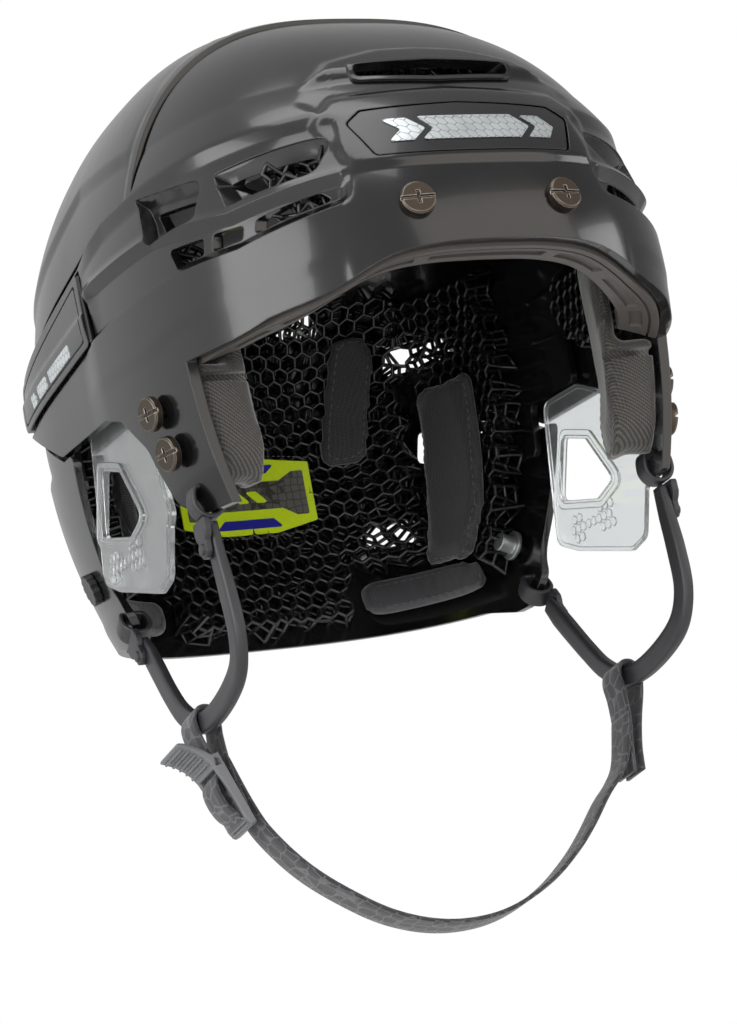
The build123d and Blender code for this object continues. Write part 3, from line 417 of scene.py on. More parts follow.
front_slot, front_way = np.array([89.6, -55.5, -52.4]), np.array([0, -0.10, -0.995])
rear_slot, rear_way = np.array([85.5, 49.8, -78.2]), np.array([0, -0.668, -0.744])
fork_line = [(89.5, -56.9, -65), (89.4, -58.6, -76), (89, -61.4, -90), (88.4, -62.6, -104),
             (87.6, -57.5, -115), (87.2, -45, -122), (87, -26, -127.2), (87, -10, -127.6), (87, 4, -122),
             (86.8, 15, -113), (86.2, 27, -101), (85.8, 38.5, -89.5)]


def fork_section(step):
    """The fork's path, the way of its width, and its width and thickness along the path."""
    path = smooth_path(fork_line, step)
    along = unit(np.gradient(path, axis=0))
    across = np.cross(along, (1, 0, 0))
    run = np.linspace(0, 1, len(path))
    width = np.interp(run, [0, 0.05, 0.14, 0.3, 0.55, 0.8, 0.95, 1], [6.4, 7.4, 8.6, 8.8, 8.0, 8.2, 8.8, 6.8])
    thick = np.interp(run, [0, 0.08, 0.2, 0.6, 0.9, 1], [3.2, 4.0, 4.4, 4.2, 4.0, 3.0])
    return path, across, width, thick


def end_ring(centre, way, width, name):
    """The thin closed loop of an arm's end, through a slot and back over the shell's edge."""
    half = 5.2
    reach = 10.5
    way3 = np.array(way)
    points = []
    for x, s in ((0, -0.6), (half * 0.75, -0.4), (half, 2.2), (half, reach - 4), (half * 0.6, reach - 1.0),
                 (0, reach), (-half * 0.6, reach - 1.0), (-half, reach - 4), (-half, 2.2),
                 (-half * 0.75, -0.4)):
        points.append(np.array(centre) + np.array([x, 0, 0]) + way3 * s)
    path = smooth_path(points + points[:1], 0.7)
    across = np.cross(way3, (1, 0, 0))
    return band(name, path, across, width, 1.7, moulded_rubber)


def t_tab(centre, way, name, outward):
    """The T-shaped tab: a faceted block across the band, narrower below, with a small round button."""
    way3 = np.array(way)
    across = unit(np.cross(way3, (1, 0, 0)))
    outline = [(-5.2, 0.6), (-5.6, 1.6), (-5.6, 5.4), (-4.6, 7.2), (-3.2, 8.6), (-3.2, 12.5), (-1.6, 14.4),
               (1.6, 14.4), (3.2, 12.5), (3.2, 8.6), (4.6, 7.2), (5.6, 5.4), (5.6, 1.6), (5.2, 0.6)]
    corners = [np.array(centre) + across * a + way3 * s for a, s in outline]
    tab = block(name, corners, (outward * 2.6, 0, 0), moulded_rubber, bevel=0.7)
    cap_turns = [math.radians(360 * k / 20) for k in range(20)]
    hub = np.array(centre) + way3 * 11.2 + np.array([outward * 2.2, 0, 0])
    cap = [hub + across * 2.1 * math.cos(t) + way3 * 2.1 * math.sin(t) for t in cap_turns]
    button = block(name + "_button", cap, (outward * 1.3, 0, 0), moulded_rubber, bevel=0.4)
    return join(name, [tab, button])


path, across, width, thick = fork_section(1.2)
fork = band("fork_band", path, across, width, thick, moulded_rubber, corner=0.28)
front_ring = end_ring(front_slot, front_way, 7.4, "front_ring")
rear_ring = end_ring(rear_slot, rear_way, 7.4, "rear_ring")
fork_left = join("fork_band_left", [fork, front_ring, rear_ring])
fork_right = mirrored(fork_left, "fork_band_right")
front_tab = t_tab(front_slot + front_way * 10.5 + np.array([2.0, 0, 0]), front_way, "tab", 1)
rear_tab = t_tab(rear_slot + rear_way * 10.5 + np.array([2.0, 0, 0]), rear_way, "tab", 1)
other_front, other_rear = mirrored(front_tab, "tab2"), mirrored(rear_tab, "tab2")
front_tabs = join("front_arm_tabs", [front_tab, other_front])
rear_tabs = join("rear_arm_tabs", [rear_tab, other_rear])
for fork, node in ((fork_left, "strap_fork_left"), (fork_right, "strap_fork_right")):
    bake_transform(fork)
    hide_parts(node)
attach(front_tabs, "front")
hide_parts("front_strap_tabs")
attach(rear_tabs, "rear")
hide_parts("rear_strap_tabs")


# Buckle.
# A grey acetal ladder lock on the outer face of the wearer's right fold: two rails, three bars, and a thumb
# tab with five ribs that flares away from the strap. The webbing rises through it and over its middle bar.
acetal_grey = rubber_material("acetal_moulded_grey", "#5C5D60", 0.36)
turn = math.radians(18)
buckle_down = np.array([math.sin(turn), 0, 0]) + strap_down * math.cos(turn)
buckle_out = np.array([-math.cos(turn), 0, 0]) + strap_down * math.sin(turn)
buckle_origin = (strap_origin + np.array([-82.06, 0, 0]) + strap_down * 15.22) + buckle_out * 3.1


def at_buckle(down, out, across=0.0):
    """A place on the buckle: down the strap, out from it and across it."""
    return buckle_origin + buckle_down * down + buckle_out * out + strap_side * across


def buckle_block(name, profile, start, end, bevel=0.4):
    """A prism across the strap from an outline given down the strap and out from it."""
    corners = [at_buckle(d, o, start) for d, o in profile]
    return block(name, corners, strap_side * (end - start), acetal_grey, bevel=bevel)


rail_line = [(-1.5, 0.2), (-1.5, 3.0), (3, 4.6), (12, 3.8), (24.5, 3.4), (27, 2.4), (27, 0.2)]
middle_line = [(11.6, 0.6), (11.6, 2.8), (13.6, 3.4), (15.4, 2.8), (15.4, 0.6)]
lower_line = [(22.6, 0.2), (22.6, 3.0), (24.0, 3.6), (27.2, 2.4), (27.2, 0.2)]
parts = [buckle_block("rail", rail_line, start, end, 0.6) for start, end in ((-10, -7.9), (7.9, 10))]
parts.append(buckle_block("middle_bar", middle_line, -9, 9))
parts.append(buckle_block("lower_bar", lower_line, -9.4, 9.4, 0.5))
for step in range(3):
    near, far, drop = 23.3 + 1.3 * step, 24.0 + 1.3 * step, 0.3 * step
    grip_line = [(near, 2.4), (near, 4.1 - drop), (far, 4.0 - drop), (far, 2.4)]
    parts.append(buckle_block("grip", grip_line, -8.6, 8.6, 0.2))
tab_outer = [(3.5, 4.6), (0.5, 5.4), (-2.5, 6.8), (-5.5, 9.0), (-8.0, 11.8), (-9.4, 13.6)]
tab_inner = [(-10.4, 12.6), (-9.4, 10.4), (-7.0, 7.6), (-4.0, 4.8), (-1.0, 2.6), (0.5, 0.6), (4.0, 0.6)]
parts.append(buckle_block("thumb_tab", tab_outer + tab_inner, -10, 10, 0.9))
for step in range(5):
    share = 0.16 + 0.17 * step
    run = np.array(tab_outer)
    spans = np.concatenate([[0], np.cumsum(np.linalg.norm(np.diff(run, axis=0), axis=1))])
    d, o = np.interp(share * spans[-1], spans, run[:, 0]), np.interp(share * spans[-1], spans, run[:, 1])
    rib_line = [(d - 0.5, o - 0.8), (d - 0.5, o + 1.0), (d + 0.5, o + 1.0), (d + 0.5, o - 0.8)]
    parts.append(buckle_block("rib", rib_line, -8.8, 8.8, 0.3))
buckle = join("ladder_lock_buckle", parts)
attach(buckle, "buckle")
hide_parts("buckle")
hump_line = [(1.5, 1.2), (4.6, 1.6), (6.4, 4.4), (9.0, 5.8), (13.4, 6.2), (17.6, 5.6), (20.4, 4.2),
             (21.8, 1.6), (22.4, 0.9)]
hump = band("buckle_webbing_hump", smooth_path([at_buckle(d, o) for d, o in hump_line], 0.8), strap_side,
            14.6, 1.4, webbing_printed)
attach(hump, "buckle")
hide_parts("buckle_webbing")


# Front shell.
# One injection moulding of glossy black plastic, 3.2 mm thick. Ridges sweep back from the brow on each side
# with windows sunk between them; a raised frame holds the badge, and a hood stands over the top slot.
half_width, front_reach, rear_reach, crown_height, set_back, skirt_depth = 105, 136, 146, 136, 15, 95
shell_wall, slide_travel = 3.2, 18.0
turns = np.linspace(0, math.pi, 721)


def fall(part, power):
    """How a rounded form falls away, from 1 at its middle to 0 at its edge."""
    return np.maximum(1 - np.clip(part, 0, 1) ** power, 0) ** (1 / power)


def ring_radii(z, inset=0.0):
    """The dome's half width and its reach to the front and the rear at a height."""
    part = np.clip(z, 0, None) / (crown_height - inset)
    drop = (np.clip(-z, 0, None) / skirt_depth) ** 2
    return ((half_width - inset) * fall(part, 2.55) * (1 - 0.226 * drop),
            (front_reach + set_back - inset) * fall(part, 1.96),
            (rear_reach - set_back - inset) * fall(part, 1.95) * (1 - 0.117 * drop))


def ring_point(turn, z, inset=0.0):
    """A point of the dome in a direction round the helmet, from the front, at a height."""
    side, front, rear = ring_radii(z, inset)
    across, ahead = np.sin(turn), np.cos(turn)
    reach, power = np.where(ahead > 0, front, rear), np.where(ahead > 0, 2.63, 2.85)
    size = ((np.abs(across) / np.maximum(side, 1e-6)) ** power
            + (np.abs(ahead) / np.maximum(reach, 1e-6)) ** power) ** (-1 / power)
    return size * across, set_back - size * ahead


ring_x, ring_y = ring_point(turns, np.zeros_like(turns))
ring_run = np.concatenate([[0], np.cumsum(np.hypot(np.diff(ring_x), np.diff(ring_y)))])
quarter, half_ring = float(np.interp(math.pi / 2, turns, ring_run)), float(ring_run[-1])


def along_ring(x, y):
    """How far round the helmet a place lies, measured at the brow from the front centre."""
    return np.interp(np.arctan2(np.abs(x), set_back - np.array(y, float)), turns, ring_run)


def surface(q, z, inset=0.0, stretch=0.0):
    """Points of the dome; the stretch sets the rear half back, with a straight run between."""
    s = np.abs(q)
    extra = np.clip(s - quarter, 0, stretch)
    x, y = ring_point(np.interp(s - extra, ring_run, turns), z, inset)
    return np.stack([np.sign(q) * x, y + extra, z], -1)


def smooth(part):
    """A soft step from 0 to 1."""
    part = np.clip(part, 0, 1)
    return part * part * (3 - 2 * part)


def area(points):
    """Twice an outline's area, above zero where it runs anticlockwise."""
    return sum(p[0] * n[1] - n[0] * p[1] for p, n in zip(points, np.roll(points, -1, 0)))


def convex(points, a, b):
    """Depth inside a convex outline, in millimetres, at places given by two coordinates."""
    points = np.array(points, float)
    if area(points) < 0:
        points = points[::-1]
    depth = np.full(np.shape(a), 1e9)
    for p, n in zip(points, np.roll(points, -1, 0)):
        way = unit(n - p)
        depth = np.minimum(depth, way[0] * (b - p[1]) - way[1] * (a - p[0]))
    return depth


def profile(z, knots):
    """A line through (height, rise) knots, from the top down, whose heights may change along the helmet."""
    rise = np.broadcast_to(knots[0][1], z.shape).astype(float)
    for (top, high), (low, deep) in zip(knots, knots[1:]):
        part = np.clip((top - z) / np.maximum(top - low, 0.01), 0, 1)
        rise = np.where(z < top, high + (deep - high) * part, rise)
    return rise


def dome_body(name, rise, inset=0.0, stretch=0.0, step=1.4, low=-skirt_depth - 6.0, lines=None):
    """A closed body under the dome's surface, raised along its normals by rise(q, z, points).

    Rows of the mesh follow the lines, which give heights for places q, so that ridges come out crisp."""
    columns = int(round(2 * (half_ring + stretch) / step))
    q = (np.arange(columns) / columns * 2 - 1) * (half_ring + stretch)
    top = crown_height - inset
    marks = [low + 0 * q] + (lines(np.abs(q)) if lines else [0 * q])
    bands = []
    for under, over in zip(marks, marks[1:]):
        count = max(int(round(np.mean(over - under) / step)), 2)
        bands += [under + (over - under) * k / count for k in range(count)]
    start = np.arcsin(np.clip(marks[-1] / top, 0, 0.99))
    count = int((math.pi / 2 - np.mean(start)) * 120 / step)
    bands += [top * np.sin(start + (math.pi / 2 * 0.985 - start) * k / count) for k in range(count + 1)]
    grid_z = np.array(bands)
    grid_q = np.broadcast_to(q, grid_z.shape)
    points = surface(grid_q, grid_z, inset, stretch)
    du = np.roll(points, -1, 1) - np.roll(points, 1, 1)
    dv = np.gradient(points, axis=0)
    normal = unit(np.cross(du, dv))
    if rise is not None:
        points = points + normal * rise(grid_q, grid_z, points)[:, :, None]
    rows = len(grid_z)
    faces = []
    for r in range(rows - 1):
        for c in range(columns):
            n = (c + 1) % columns
            faces.append((r * columns + c, r * columns + n, (r + 1) * columns + n, (r + 1) * columns + c))
    faces.append(tuple(range(columns))[::-1])
    faces.append(tuple(range((rows - 1) * columns, rows * columns)))
    return new_piece(name, points.reshape(-1, 3) * MM, faces)


def dome_patch(name, span_q, span_z, rise, thick, inset=0.0, stretch=0.0, step=1.0, under=None):
    """A closed slab that lies on the dome: from rise above the surface to thick below that."""
    q = np.linspace(*span_q, max(int((span_q[1] - span_q[0]) / step), 2) + 1)
    z = np.linspace(*span_z, max(int((span_z[1] - span_z[0]) / step), 2) + 1)
    grid_q, grid_z = np.meshgrid(q, z)
    points = surface(grid_q, grid_z, inset, stretch)
    normal = unit(np.cross(np.gradient(points, axis=1), np.gradient(points, axis=0)))
    upper = rise(grid_q, grid_z, points) if callable(rise) else rise + 0 * grid_q
    outer = points + normal * upper[:, :, None]
    below = (upper - thick) if under is None else under + 0 * grid_q
    inner = points + normal * below[:, :, None]
    rows, columns = grid_q.shape
    half = rows * columns
    faces = []
    for r in range(rows - 1):
        for c in range(columns - 1):
            a, b, d, e = r * columns + c, r * columns + c + 1, (r + 1) * columns + c + 1, (r
                                                                                           + 1) * columns + c
            faces += [(a, b, d, e), (e + half, d + half, b + half, a + half)]
    border = list(range(columns)) + [r * columns + columns - 1 for r in range(1, rows)]
    border += [(rows - 1) * columns + c for c in range(columns - 2, -1, -1)]
    border += [r * columns for r in range(rows - 2, 0, -1)]
    faces += [(b, a, a + half, b + half) for a, b in zip(border, border[1:] + border[:1])]
    return new_piece(name, np.concatenate([outer.reshape(-1, 3), inner.reshape(-1, 3)]) * MM, faces)


def rounded(points, radius, steps=5):
    """An outline with its corners rounded; the radius may be one for each corner."""
    points = [np.array(p, float) for p in points]
    radii = [radius] * len(points) if np.isscalar(radius) else radius
    line = []
    for k, here in enumerate(points):
        before, after = points[k - 1] - here, points[(k + 1) % len(points)] - here
        room = 0.45 * min(np.linalg.norm(before), np.linalg.norm(after))
        before, after = unit(before), unit(after)
        half = math.acos(float(np.clip(before @ after, -1, 1))) / 2
        cut = min(radii[k] / math.tan(half), room) if half < 1.55 else 0
        if cut < 0.01:
            line.append(here)
            continue
        for t in np.linspace(0, 1, steps):
            start, end = here + before * cut, here + after * cut
            line.append((1 - t) ** 2 * start + 2 * t * (1 - t) * here + t**2 * end)
    return line


far_side, far_front, far_rear, far_top, below_skirt = 170, -220, 220, 200, -110.0
outside = {"side": far_side, "front": far_front, "rear": far_rear, "top": far_top}


def prism(points, view, start, end=None):
    """A cutter: an outline of one view drawn out from start to end, or to well outside the helmet."""
    end = outside[view] if end is None else end
    orders = {"side": lambda a, b, c: (c, a, b), "top": lambda a, b, c: (a, b, c)}
    order = orders.get(view, lambda a, b, c: (a, c, b))
    corners = [order(a, b, c) for c in (start, end) for a, b in points]
    count = len(points)
    faces = [tuple(range(count)), tuple(range(2 * count - 1, count - 1, -1))]
    faces += [(k + count, (k + 1) % count + count, (k + 1) % count, k) for k in range(count)]
    return turned_outward(new_piece("cutter", np.array(corners) * MM, faces))


def baked(piece):
    """The piece's mesh as its modifiers leave it; the modifiers are then removed."""
    bpy.context.view_layer.update()
    mesh = bpy.data.meshes.new_from_object(piece.evaluated_get(bpy.context.evaluated_depsgraph_get()))
    piece.modifiers.clear()
    return mesh


def combine(piece, other, kind, keep=False):
    """Cuts, joins or crosses two closed pieces; the second one is used up."""
    work = piece.modifiers.new("work", "BOOLEAN")
    work.solver = "MANIFOLD"
    work.operation = kind
    work.object = other
    piece.data = baked(piece)
    if not keep:
        bpy.data.objects.remove(other)
    return piece


def cut(piece, *cutter):
    """Cuts a prism out of a piece."""
    return combine(piece, prism(*cutter), "DIFFERENCE")


def crop(piece, *cutter):
    """Keeps what of a piece lies in a prism."""
    return combine(piece, prism(*cutter), "INTERSECT")


def shrunk(points, amount):
    """An outline drawn in, or out for a negative amount."""
    points = [np.array(p, float) for p in points]
    turn = 1 if area(points) > 0 else -1
    moved = []
    for k, here in enumerate(points):
        a, b = unit(here - points[k - 1]), unit(points[(k + 1) % len(points)] - here)
        na, nb = np.array([-a[1], a[0]]) * turn, np.array([-b[1], b[0]]) * turn
        middle = unit(na + nb)
        moved.append(here + middle * amount / max(middle @ na, 0.4))
    return moved


def finish_shell(piece, material, angle=38):
    """Merges the cut edges, lays the material on every face and keeps real edges sharp."""
    mesh = bmesh.new()
    mesh.from_mesh(piece.data)
    bmesh.ops.remove_doubles(mesh, verts=mesh.verts, dist=0.00002)
    bmesh.ops.dissolve_degenerate(mesh, edges=mesh.edges, dist=0.00002)
    mesh.to_mesh(piece.data)
    mesh.free()
    piece.data.materials.clear()
    piece.data.materials.append(material)
    for face in piece.data.polygons:
        face.material_index = 0
    piece.data.shade_smooth()
    piece.data.set_sharp_from_angle(angle=math.radians(angle))
    return piece


def gloss_plastic(name, code, rough, scuff=0.06):
    """Glossy moulded plastic: a near-black colour, a soft 14 mm wave of polish and a faint 0.9 mm grain."""
    material, tree, shader = new_material(name)
    place = add(tree, "TexCoord").outputs["Object"]
    polish = noise(tree, 1 / (14 * MM), 4.0, place)
    shine = ramp(tree, polish, 0.3, 0.7, rough, rough + scuff)
    grain = noise(tree, 1 / (0.9 * MM), 2.0, place)
    edge = add(tree, "Bevel", {"samples": 6, "Radius": 0.0007})
    bump = bumps(tree, grain, 0.05, 0.00008, edge)
    fill(tree, shader,
         {"Base Color": linear(code), "Roughness": shine, "Normal": bump, "Coat Weight": 0.25,
          "Coat Roughness": 0.04})
    return material


def ridge(points):
    """A ridge's height against the distance round the helmet, from places on the shell."""
    places = sorted((float(along_ring(x, y)), z) for x, y, z in points)
    return [q for q, z in places], [z for q, z in places]


ridge_1 = ridge([(40, -114, 66), (44, -111, 64), (79, -84, 62), (92, -56, 59), (99, -23, 55), (101.5, 3, 48)])
ridge_2 = ridge([(40, -125, 42), (46, -123, 39), (81, -96, 34), (96, -58, 38), (103, -8, 36), (104, 10, 34)])
ridge_3 = ridge([(40, -128, 29), (50.5, -124, 27), (80.5, -99.5, 20), (93, -74, 20), (103, -23, 16),
                 (104, -7, 15)])
crease = ridge([(41, -131, 10), (75, -108, 5), (93, -76, 3), (99, -50, -2)])
bevel_heights = [14, 34, 58, 70]
bevel_places = [float(along_ring(x, y)) for x, y in ((51, -126), (46, -124.5), (44, -120), (52, -110))]
frame_line = [(-44, 40.3), (44, 40.3), (51, 58), (42, 68.5), (0, 70.8), (-42, 68.5), (-51, 58)]
hood_line = [(-50, 77.5), (50, 77.5), (37, 89.5), (16, 95), (0, 96), (-16, 95), (-37, 89.5)]
recesses = [[(-49, 55.5), (-84, 51.5), (-82.5, 37), (-57, 36)],
            [(-88, 51), (-116.5, 55.5), (-117.5, 41), (-95, 37)]]
channel_depth = 1.6


def front_rise(q, z, points):
    """The front shell's relief over the dome: ridges on the sides, badge frame and hood in front."""
    s = np.abs(q)
    r1, r2, r3, rc = (np.interp(s, *line) for line in (ridge_1, ridge_2, ridge_3, crease))
    back = 1 - smooth((s - along_ring(102, -14)) / 22)
    sides = profile(z,
                    [(r1 + 16, 0), (r1, 1.9 * back), (r1 - 6, 0.2 * back), (r2 + 3, 0.8 * back),
                     (r2, 2.0 * back), (r2 - 3.5, -channel_depth * back), (r3 + 3.5, -channel_depth * back),
                     (r3, 1.7 * back), (rc + 2, 1.5 * back), (rc - 3, 1.0 * back), (rc - 16, 0.6 * back),
                     (-60, 0.3 * back)])
    centre = profile(z, [(84, 0), (70, 0.6), (60, 1.7), (0, 1.7)])
    mix = smooth((s - np.interp(z, bevel_heights, bevel_places)) / 5)
    rise = centre + (sides - centre) * mix
    frame = convex(frame_line, points[:, :, 0], z)
    rise = rise + np.where(points[:, :, 1] < 0, 1.1 * smooth((frame + 2.5) / 3), 0)
    hood = convex(hood_line, points[:, :, 0], z)
    rise = rise + np.where(points[:, :, 1] < 0, 2.6 * smooth(hood / 4.5), 0)
    return rise


def recess_depth(points, z):
    """A steep facet under the upper edge of each window recess, then a flatter floor down to the window."""
    y, depth = points[:, :, 1], 0 * z
    for (back_y, back_z), (front_y, front_z) in (line[:2] for line in recesses):
        under = back_z + (y - back_y) / (front_y - back_y) * (front_z - back_z) - z
        here = (y < -86) if front_y < -90 else (y >= -86)
        depth = np.where(here, np.interp(under, [0, 3.2, 9], [0, 4.4, 6.0]), depth)
    return depth


def recess_rise(q, z, points):
    """The floor of the window recesses."""
    return front_rise(q, z, points) - recess_depth(points, z)


def front_lines(s):
    """Heights of the front shell's ridge lines, lowest first."""
    r1, r2, r3, rc = (np.interp(s, *line) for line in (ridge_1, ridge_2, ridge_3, crease))
    return [rc - 16, rc - 3, rc + 2, r3, r3 + 3.5, r2 - 3.5, r2, r2 + 3, r1 - 6, r1, r1 + 16]


def front_inner(q, z, points):
    """The wall follows the recesses, so its inner side steps in a little way outside their outlines."""
    rise = np.minimum(front_rise(q, z, points), 0)
    for line in recesses:
        near = smooth((convex(line, points[:, :, 1], z) + 5) / 4) * (np.abs(points[:, :, 0]) > 30)
        rise = rise - recess_depth(points, z) * near
    return rise


split_y = -48.0
front_edge = rounded([(-178, 165), (split_y, 165), (split_y, 59), (-23, 55), (2.7, 48), (92.5, 27.9),
                      (88.4, 5.4), (45.6, -14), (-8.2, -14), (-22.7, -18.4), (-35.6, -32), (-42.2, -54.4),
                      (-54.4, -61), (-70.7, -61), (-178, -61)], [0, 0, 3, 0, 4, 3, 9, 6, 2, 2, 8, 6, 5, 0, 0])
brow_places = [(0, 9.4), (22, 8.9), (40, 6.2), (60, -2.5), (77, -6.2), (90, -10.2)]
brow_half = smooth_path(brow_places + [(136, -12.2)], 5)
brow_line = [(-x, z) for x, z in brow_half[::-1]] + [(x, z) for x, z in brow_half[1:]]
brow_line += [(136, -120), (-136, -120)]
window_lines = [[(-54.5, 47.8), (-80, 45), (-79, 39.8), (-60, 38.8)],
                [(-88.5, 46.6), (-110, 48.6), (-115, 43.2), (-97, 40.2)]]
vent_lines = [[(-66.5, 31), (-83.8, 29.8), (-83.8, 23.8), (-70.5, 23)],
              [(-87.5, 29.8), (-98.8, 29.2), (-98.8, 24), (-87.5, 23.6)],
              [(-102.6, 29.8), (-117.5, 33.6), (-120.5, 29.8), (-102.6, 24.4)]]
badge_line = [(-37.3, 43), (37.3, 43), (42.9, 57.8), (36.4, 63), (0, 64.9), (-36.4, 63), (-42.9, 57.8)]
slot_line = [(-30, 79.6), (0, 78.4), (30, 79.6), (30, 84.6), (0, 86), (-30, 84.6)]
bead_radii, slot_radii = [4.6, 0, 4.6, 4.6, 0, 4.6], [3.4, 0, 3.4, 3.4, 0, 3.4]
shell_material = gloss_plastic("abs_moulded_gloss_black", "#0C0C0D", 0.16)
front = dome_body("front_shell_moulding", front_rise, stretch=slide_travel, step=1.3, lines=front_lines)
combine(front,
        dome_body("hollow", front_inner, inset=shell_wall, stretch=slide_travel, step=2.6, low=below_skirt),
        "DIFFERENCE")
crop(front, front_edge, "side", -far_side, far_side)
cut(front, brow_line, "front", far_front, -72)
recess_floor = dome_body("recess_floor", recess_rise, stretch=slide_travel, step=1.3, lines=front_lines)
for line in recesses:
    for sign in (1, -1):
        room = prism(rounded(line, [1, 5, 3, 1]), "side", 36 * sign, far_side * sign)
        combine(front, combine(room, recess_floor, "DIFFERENCE", keep=True), "DIFFERENCE")
bpy.data.objects.remove(recess_floor)
for window in window_lines + vent_lines:
    shape = rounded(window, 1.4)
    cut(front, shape, "side", 36)
    cut(front, shape, "side", -far_side, -36)
bead = dome_patch("bead", (-46, 46), (68, 98), lambda q, z, p: front_rise(q, z, p) + 1.1, 3.0,
                  stretch=slide_travel, step=1.3)
crop(bead, rounded(shrunk(slot_line, -1.8), bead_radii), "front", far_front, -30)
combine(front, bead, "UNION")
cut(front, rounded(slot_line, slot_radii), "front", far_front, -40)
pocket = dome_body("pocket", None, inset=0.4, stretch=slide_travel, step=3.0)
badge_room = prism(rounded(badge_line, 2.5), "front", far_front, -60)
combine(front, combine(badge_room, pocket, "DIFFERENCE"), "DIFFERENCE")
latch_floor = dome_body("latch_floor", None, inset=1.9, stretch=slide_travel, step=3.0)
for sign in (1, -1):
    room = prism(rounded([(3.4, 47), (-10, 14.6), (87.6, 3.4), (91.8, 25.2)], 2), "side", 60 * sign,
                 far_side * sign)
    combine(front, combine(room, latch_floor, "DIFFERENCE", keep=True), "DIFFERENCE")
bpy.data.objects.remove(latch_floor)
finish_shell(front, shell_material)
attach(front, "front")
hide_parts("front_shell")


# Rear shell.
# The second moulding of the same plastic. It slides under the front shell for size, so a flange runs in under
# the front one, and a raised rim stands along the split. Two facet lines fall from the split to the ear.
facet = ridge([(70, -49.5, 100), (89, -45, 76), (90, -33, 78), (92.5, 9.5, 80), (96, 35, 70), (90, 85, 52),
               (60, 135, 44), (20, 146, 42)])
rear_vents = [[(24, 50.5), (46, 48.5), (44, 59.5), (26, 62)],
              [(69, 28.5), (92, 28.5), (88, 40.5), (69, 40.5)], [(76, -12), (97, -12), (96.5, 2), (78, 2)],
              [(50.5, -44.5), (71, -44.5), (72, -34.5), (51.5, -34.5)]]
crown_vents = [[(18, -22), (28, -19), (30, 19), (18, 22)], [(18, 41), (30, 41), (28, 79), (18, 81.5)]]


def dome_layer(name, outer, inner, step=3.0):
    """A closed layer between two depths under the dome's surface."""
    layer = dome_body(name, None, inset=outer, step=step)
    return combine(layer, dome_body("hollow", None, inset=inner, step=step, low=below_skirt), "DIFFERENCE")


def other_side(points):
    """An outline on the other side of the centre plane."""
    return [(-a, b) for a, b in points]


def rear_rise(q, z, points):
    """The rear shell's relief: the facet, the rim along the split, dished vents and the hem."""
    s = np.abs(q)
    fz = np.interp(s, *facet)
    ahead = smooth((points[:, :, 1] - split_y) / 12)
    rise = profile(z, [(fz + 30, 0), (fz, 1.5 * ahead), (fz - 5, 0.2 * ahead), (fz - 40, 0)])
    y, high = points[:, :, 1], z > 56
    rim = smooth((y - split_y + 3) / 2) * smooth((split_y + 8.5 - y) / 2) * high
    rise = rise * (1 - rim) + 1.3 * rim
    behind = y > set_back
    for line in rear_vents:
        depth = convex(line, np.abs(points[:, :, 0]), z) + 5
        rise = rise - np.where(behind, 2.2 * smooth(depth / 6), 0)
    for line in crown_vents:
        depth = convex(line, np.abs(points[:, :, 0]), y) + 5
        rise = rise - np.where(z > 75, 2.4 * smooth(depth / 6), 0)
    hem = smooth((-70 - z) / 6)
    return rise + 0.7 * hem * (z > -90)


def rear_lines(s):
    """Heights of the rear shell's facet lines, lowest first."""
    fz = np.interp(s, *facet)
    return [-70 + 0 * s, 0 * s, fz - 40, fz - 5, fz, fz + 20]


def rear_inner(q, z, points):
    """The wall's inner side follows the dished vents."""
    return np.minimum(rear_rise(q, z, points), 0)


shown_edge = rounded([(split_y + 2.1, 165), (split_y + 2.1, 58), (-20, 56.8), (4, 49.6), (94.4, 29.4),
                      (90, 3.8), (46.5, -15.8), (35.6, -15.6), (46.2, -65.3), (40.8, -78.6), (48.1, -88),
                      (57.1, -88.4), (80, -84), (205, -79), (205, 165)],
                     [0, 2, 0, 4, 3, 8, 3, 3, 16, 8, 5, 4, 30, 0, 0])
flange_edge = rounded([(-70, 165), (-70, 58.5), (-50, 58.5), (-50, 44), (9.2, 36), (9.2, -6), (46, -6),
                       (46, -27), (60, -27), (100, 0), (104, 34), (4, 60), (-20, 66), (-36, 70), (-36, 165)],
                      3)
rear = dome_body("rear_shell_moulding", rear_rise, step=1.4, lines=rear_lines)
combine(rear, dome_body("hollow", rear_inner, inset=shell_wall, step=2.6, low=below_skirt), "DIFFERENCE")
crop(rear, shown_edge, "side", -far_side, far_side)
flange = dome_layer("flange", 4.3, 7.2)
crop(flange, flange_edge, "side", -far_side, far_side)
joggle_edge = rounded([(-45.6, 165), (-45.6, 60), (-20, 58), (5, 51), (96, 31), (92, 2.6), (47, -17),
                       (52, -26), (102, -1), (105, 36), (6, 59), (-19, 65.5), (-37, 68), (-37, 165)], 2)
joggle = dome_layer("joggle", 1.2, 5.4)
crop(joggle, joggle_edge, "side", -far_side, far_side)
combine(rear, joggle, "UNION")
combine(rear, flange, "UNION")
for view, start, vents in (("rear", 15, rear_vents), ("top", 68, crown_vents)):
    for line in vents:
        cut(rear, rounded(line, 3), view, start)
        cut(rear, other_side(rounded(line, 3)), view, start)
finish_shell(rear, shell_material)
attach(rear, "rear")
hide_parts("rear_shell")


# Side latch plates.
# A slanted four-sided plate on each side, hinged at its front edge on a steel pin: swung out, it frees the
# rear shell to slide. A step runs along it, and a slim silver bar of six-sided cells is let into its face.
def calc_vector(tree, kind, *values):
    """A math node on one or two vectors."""
    return add(tree, "VectorMath", {"operation": kind, **dict(enumerate(values))})


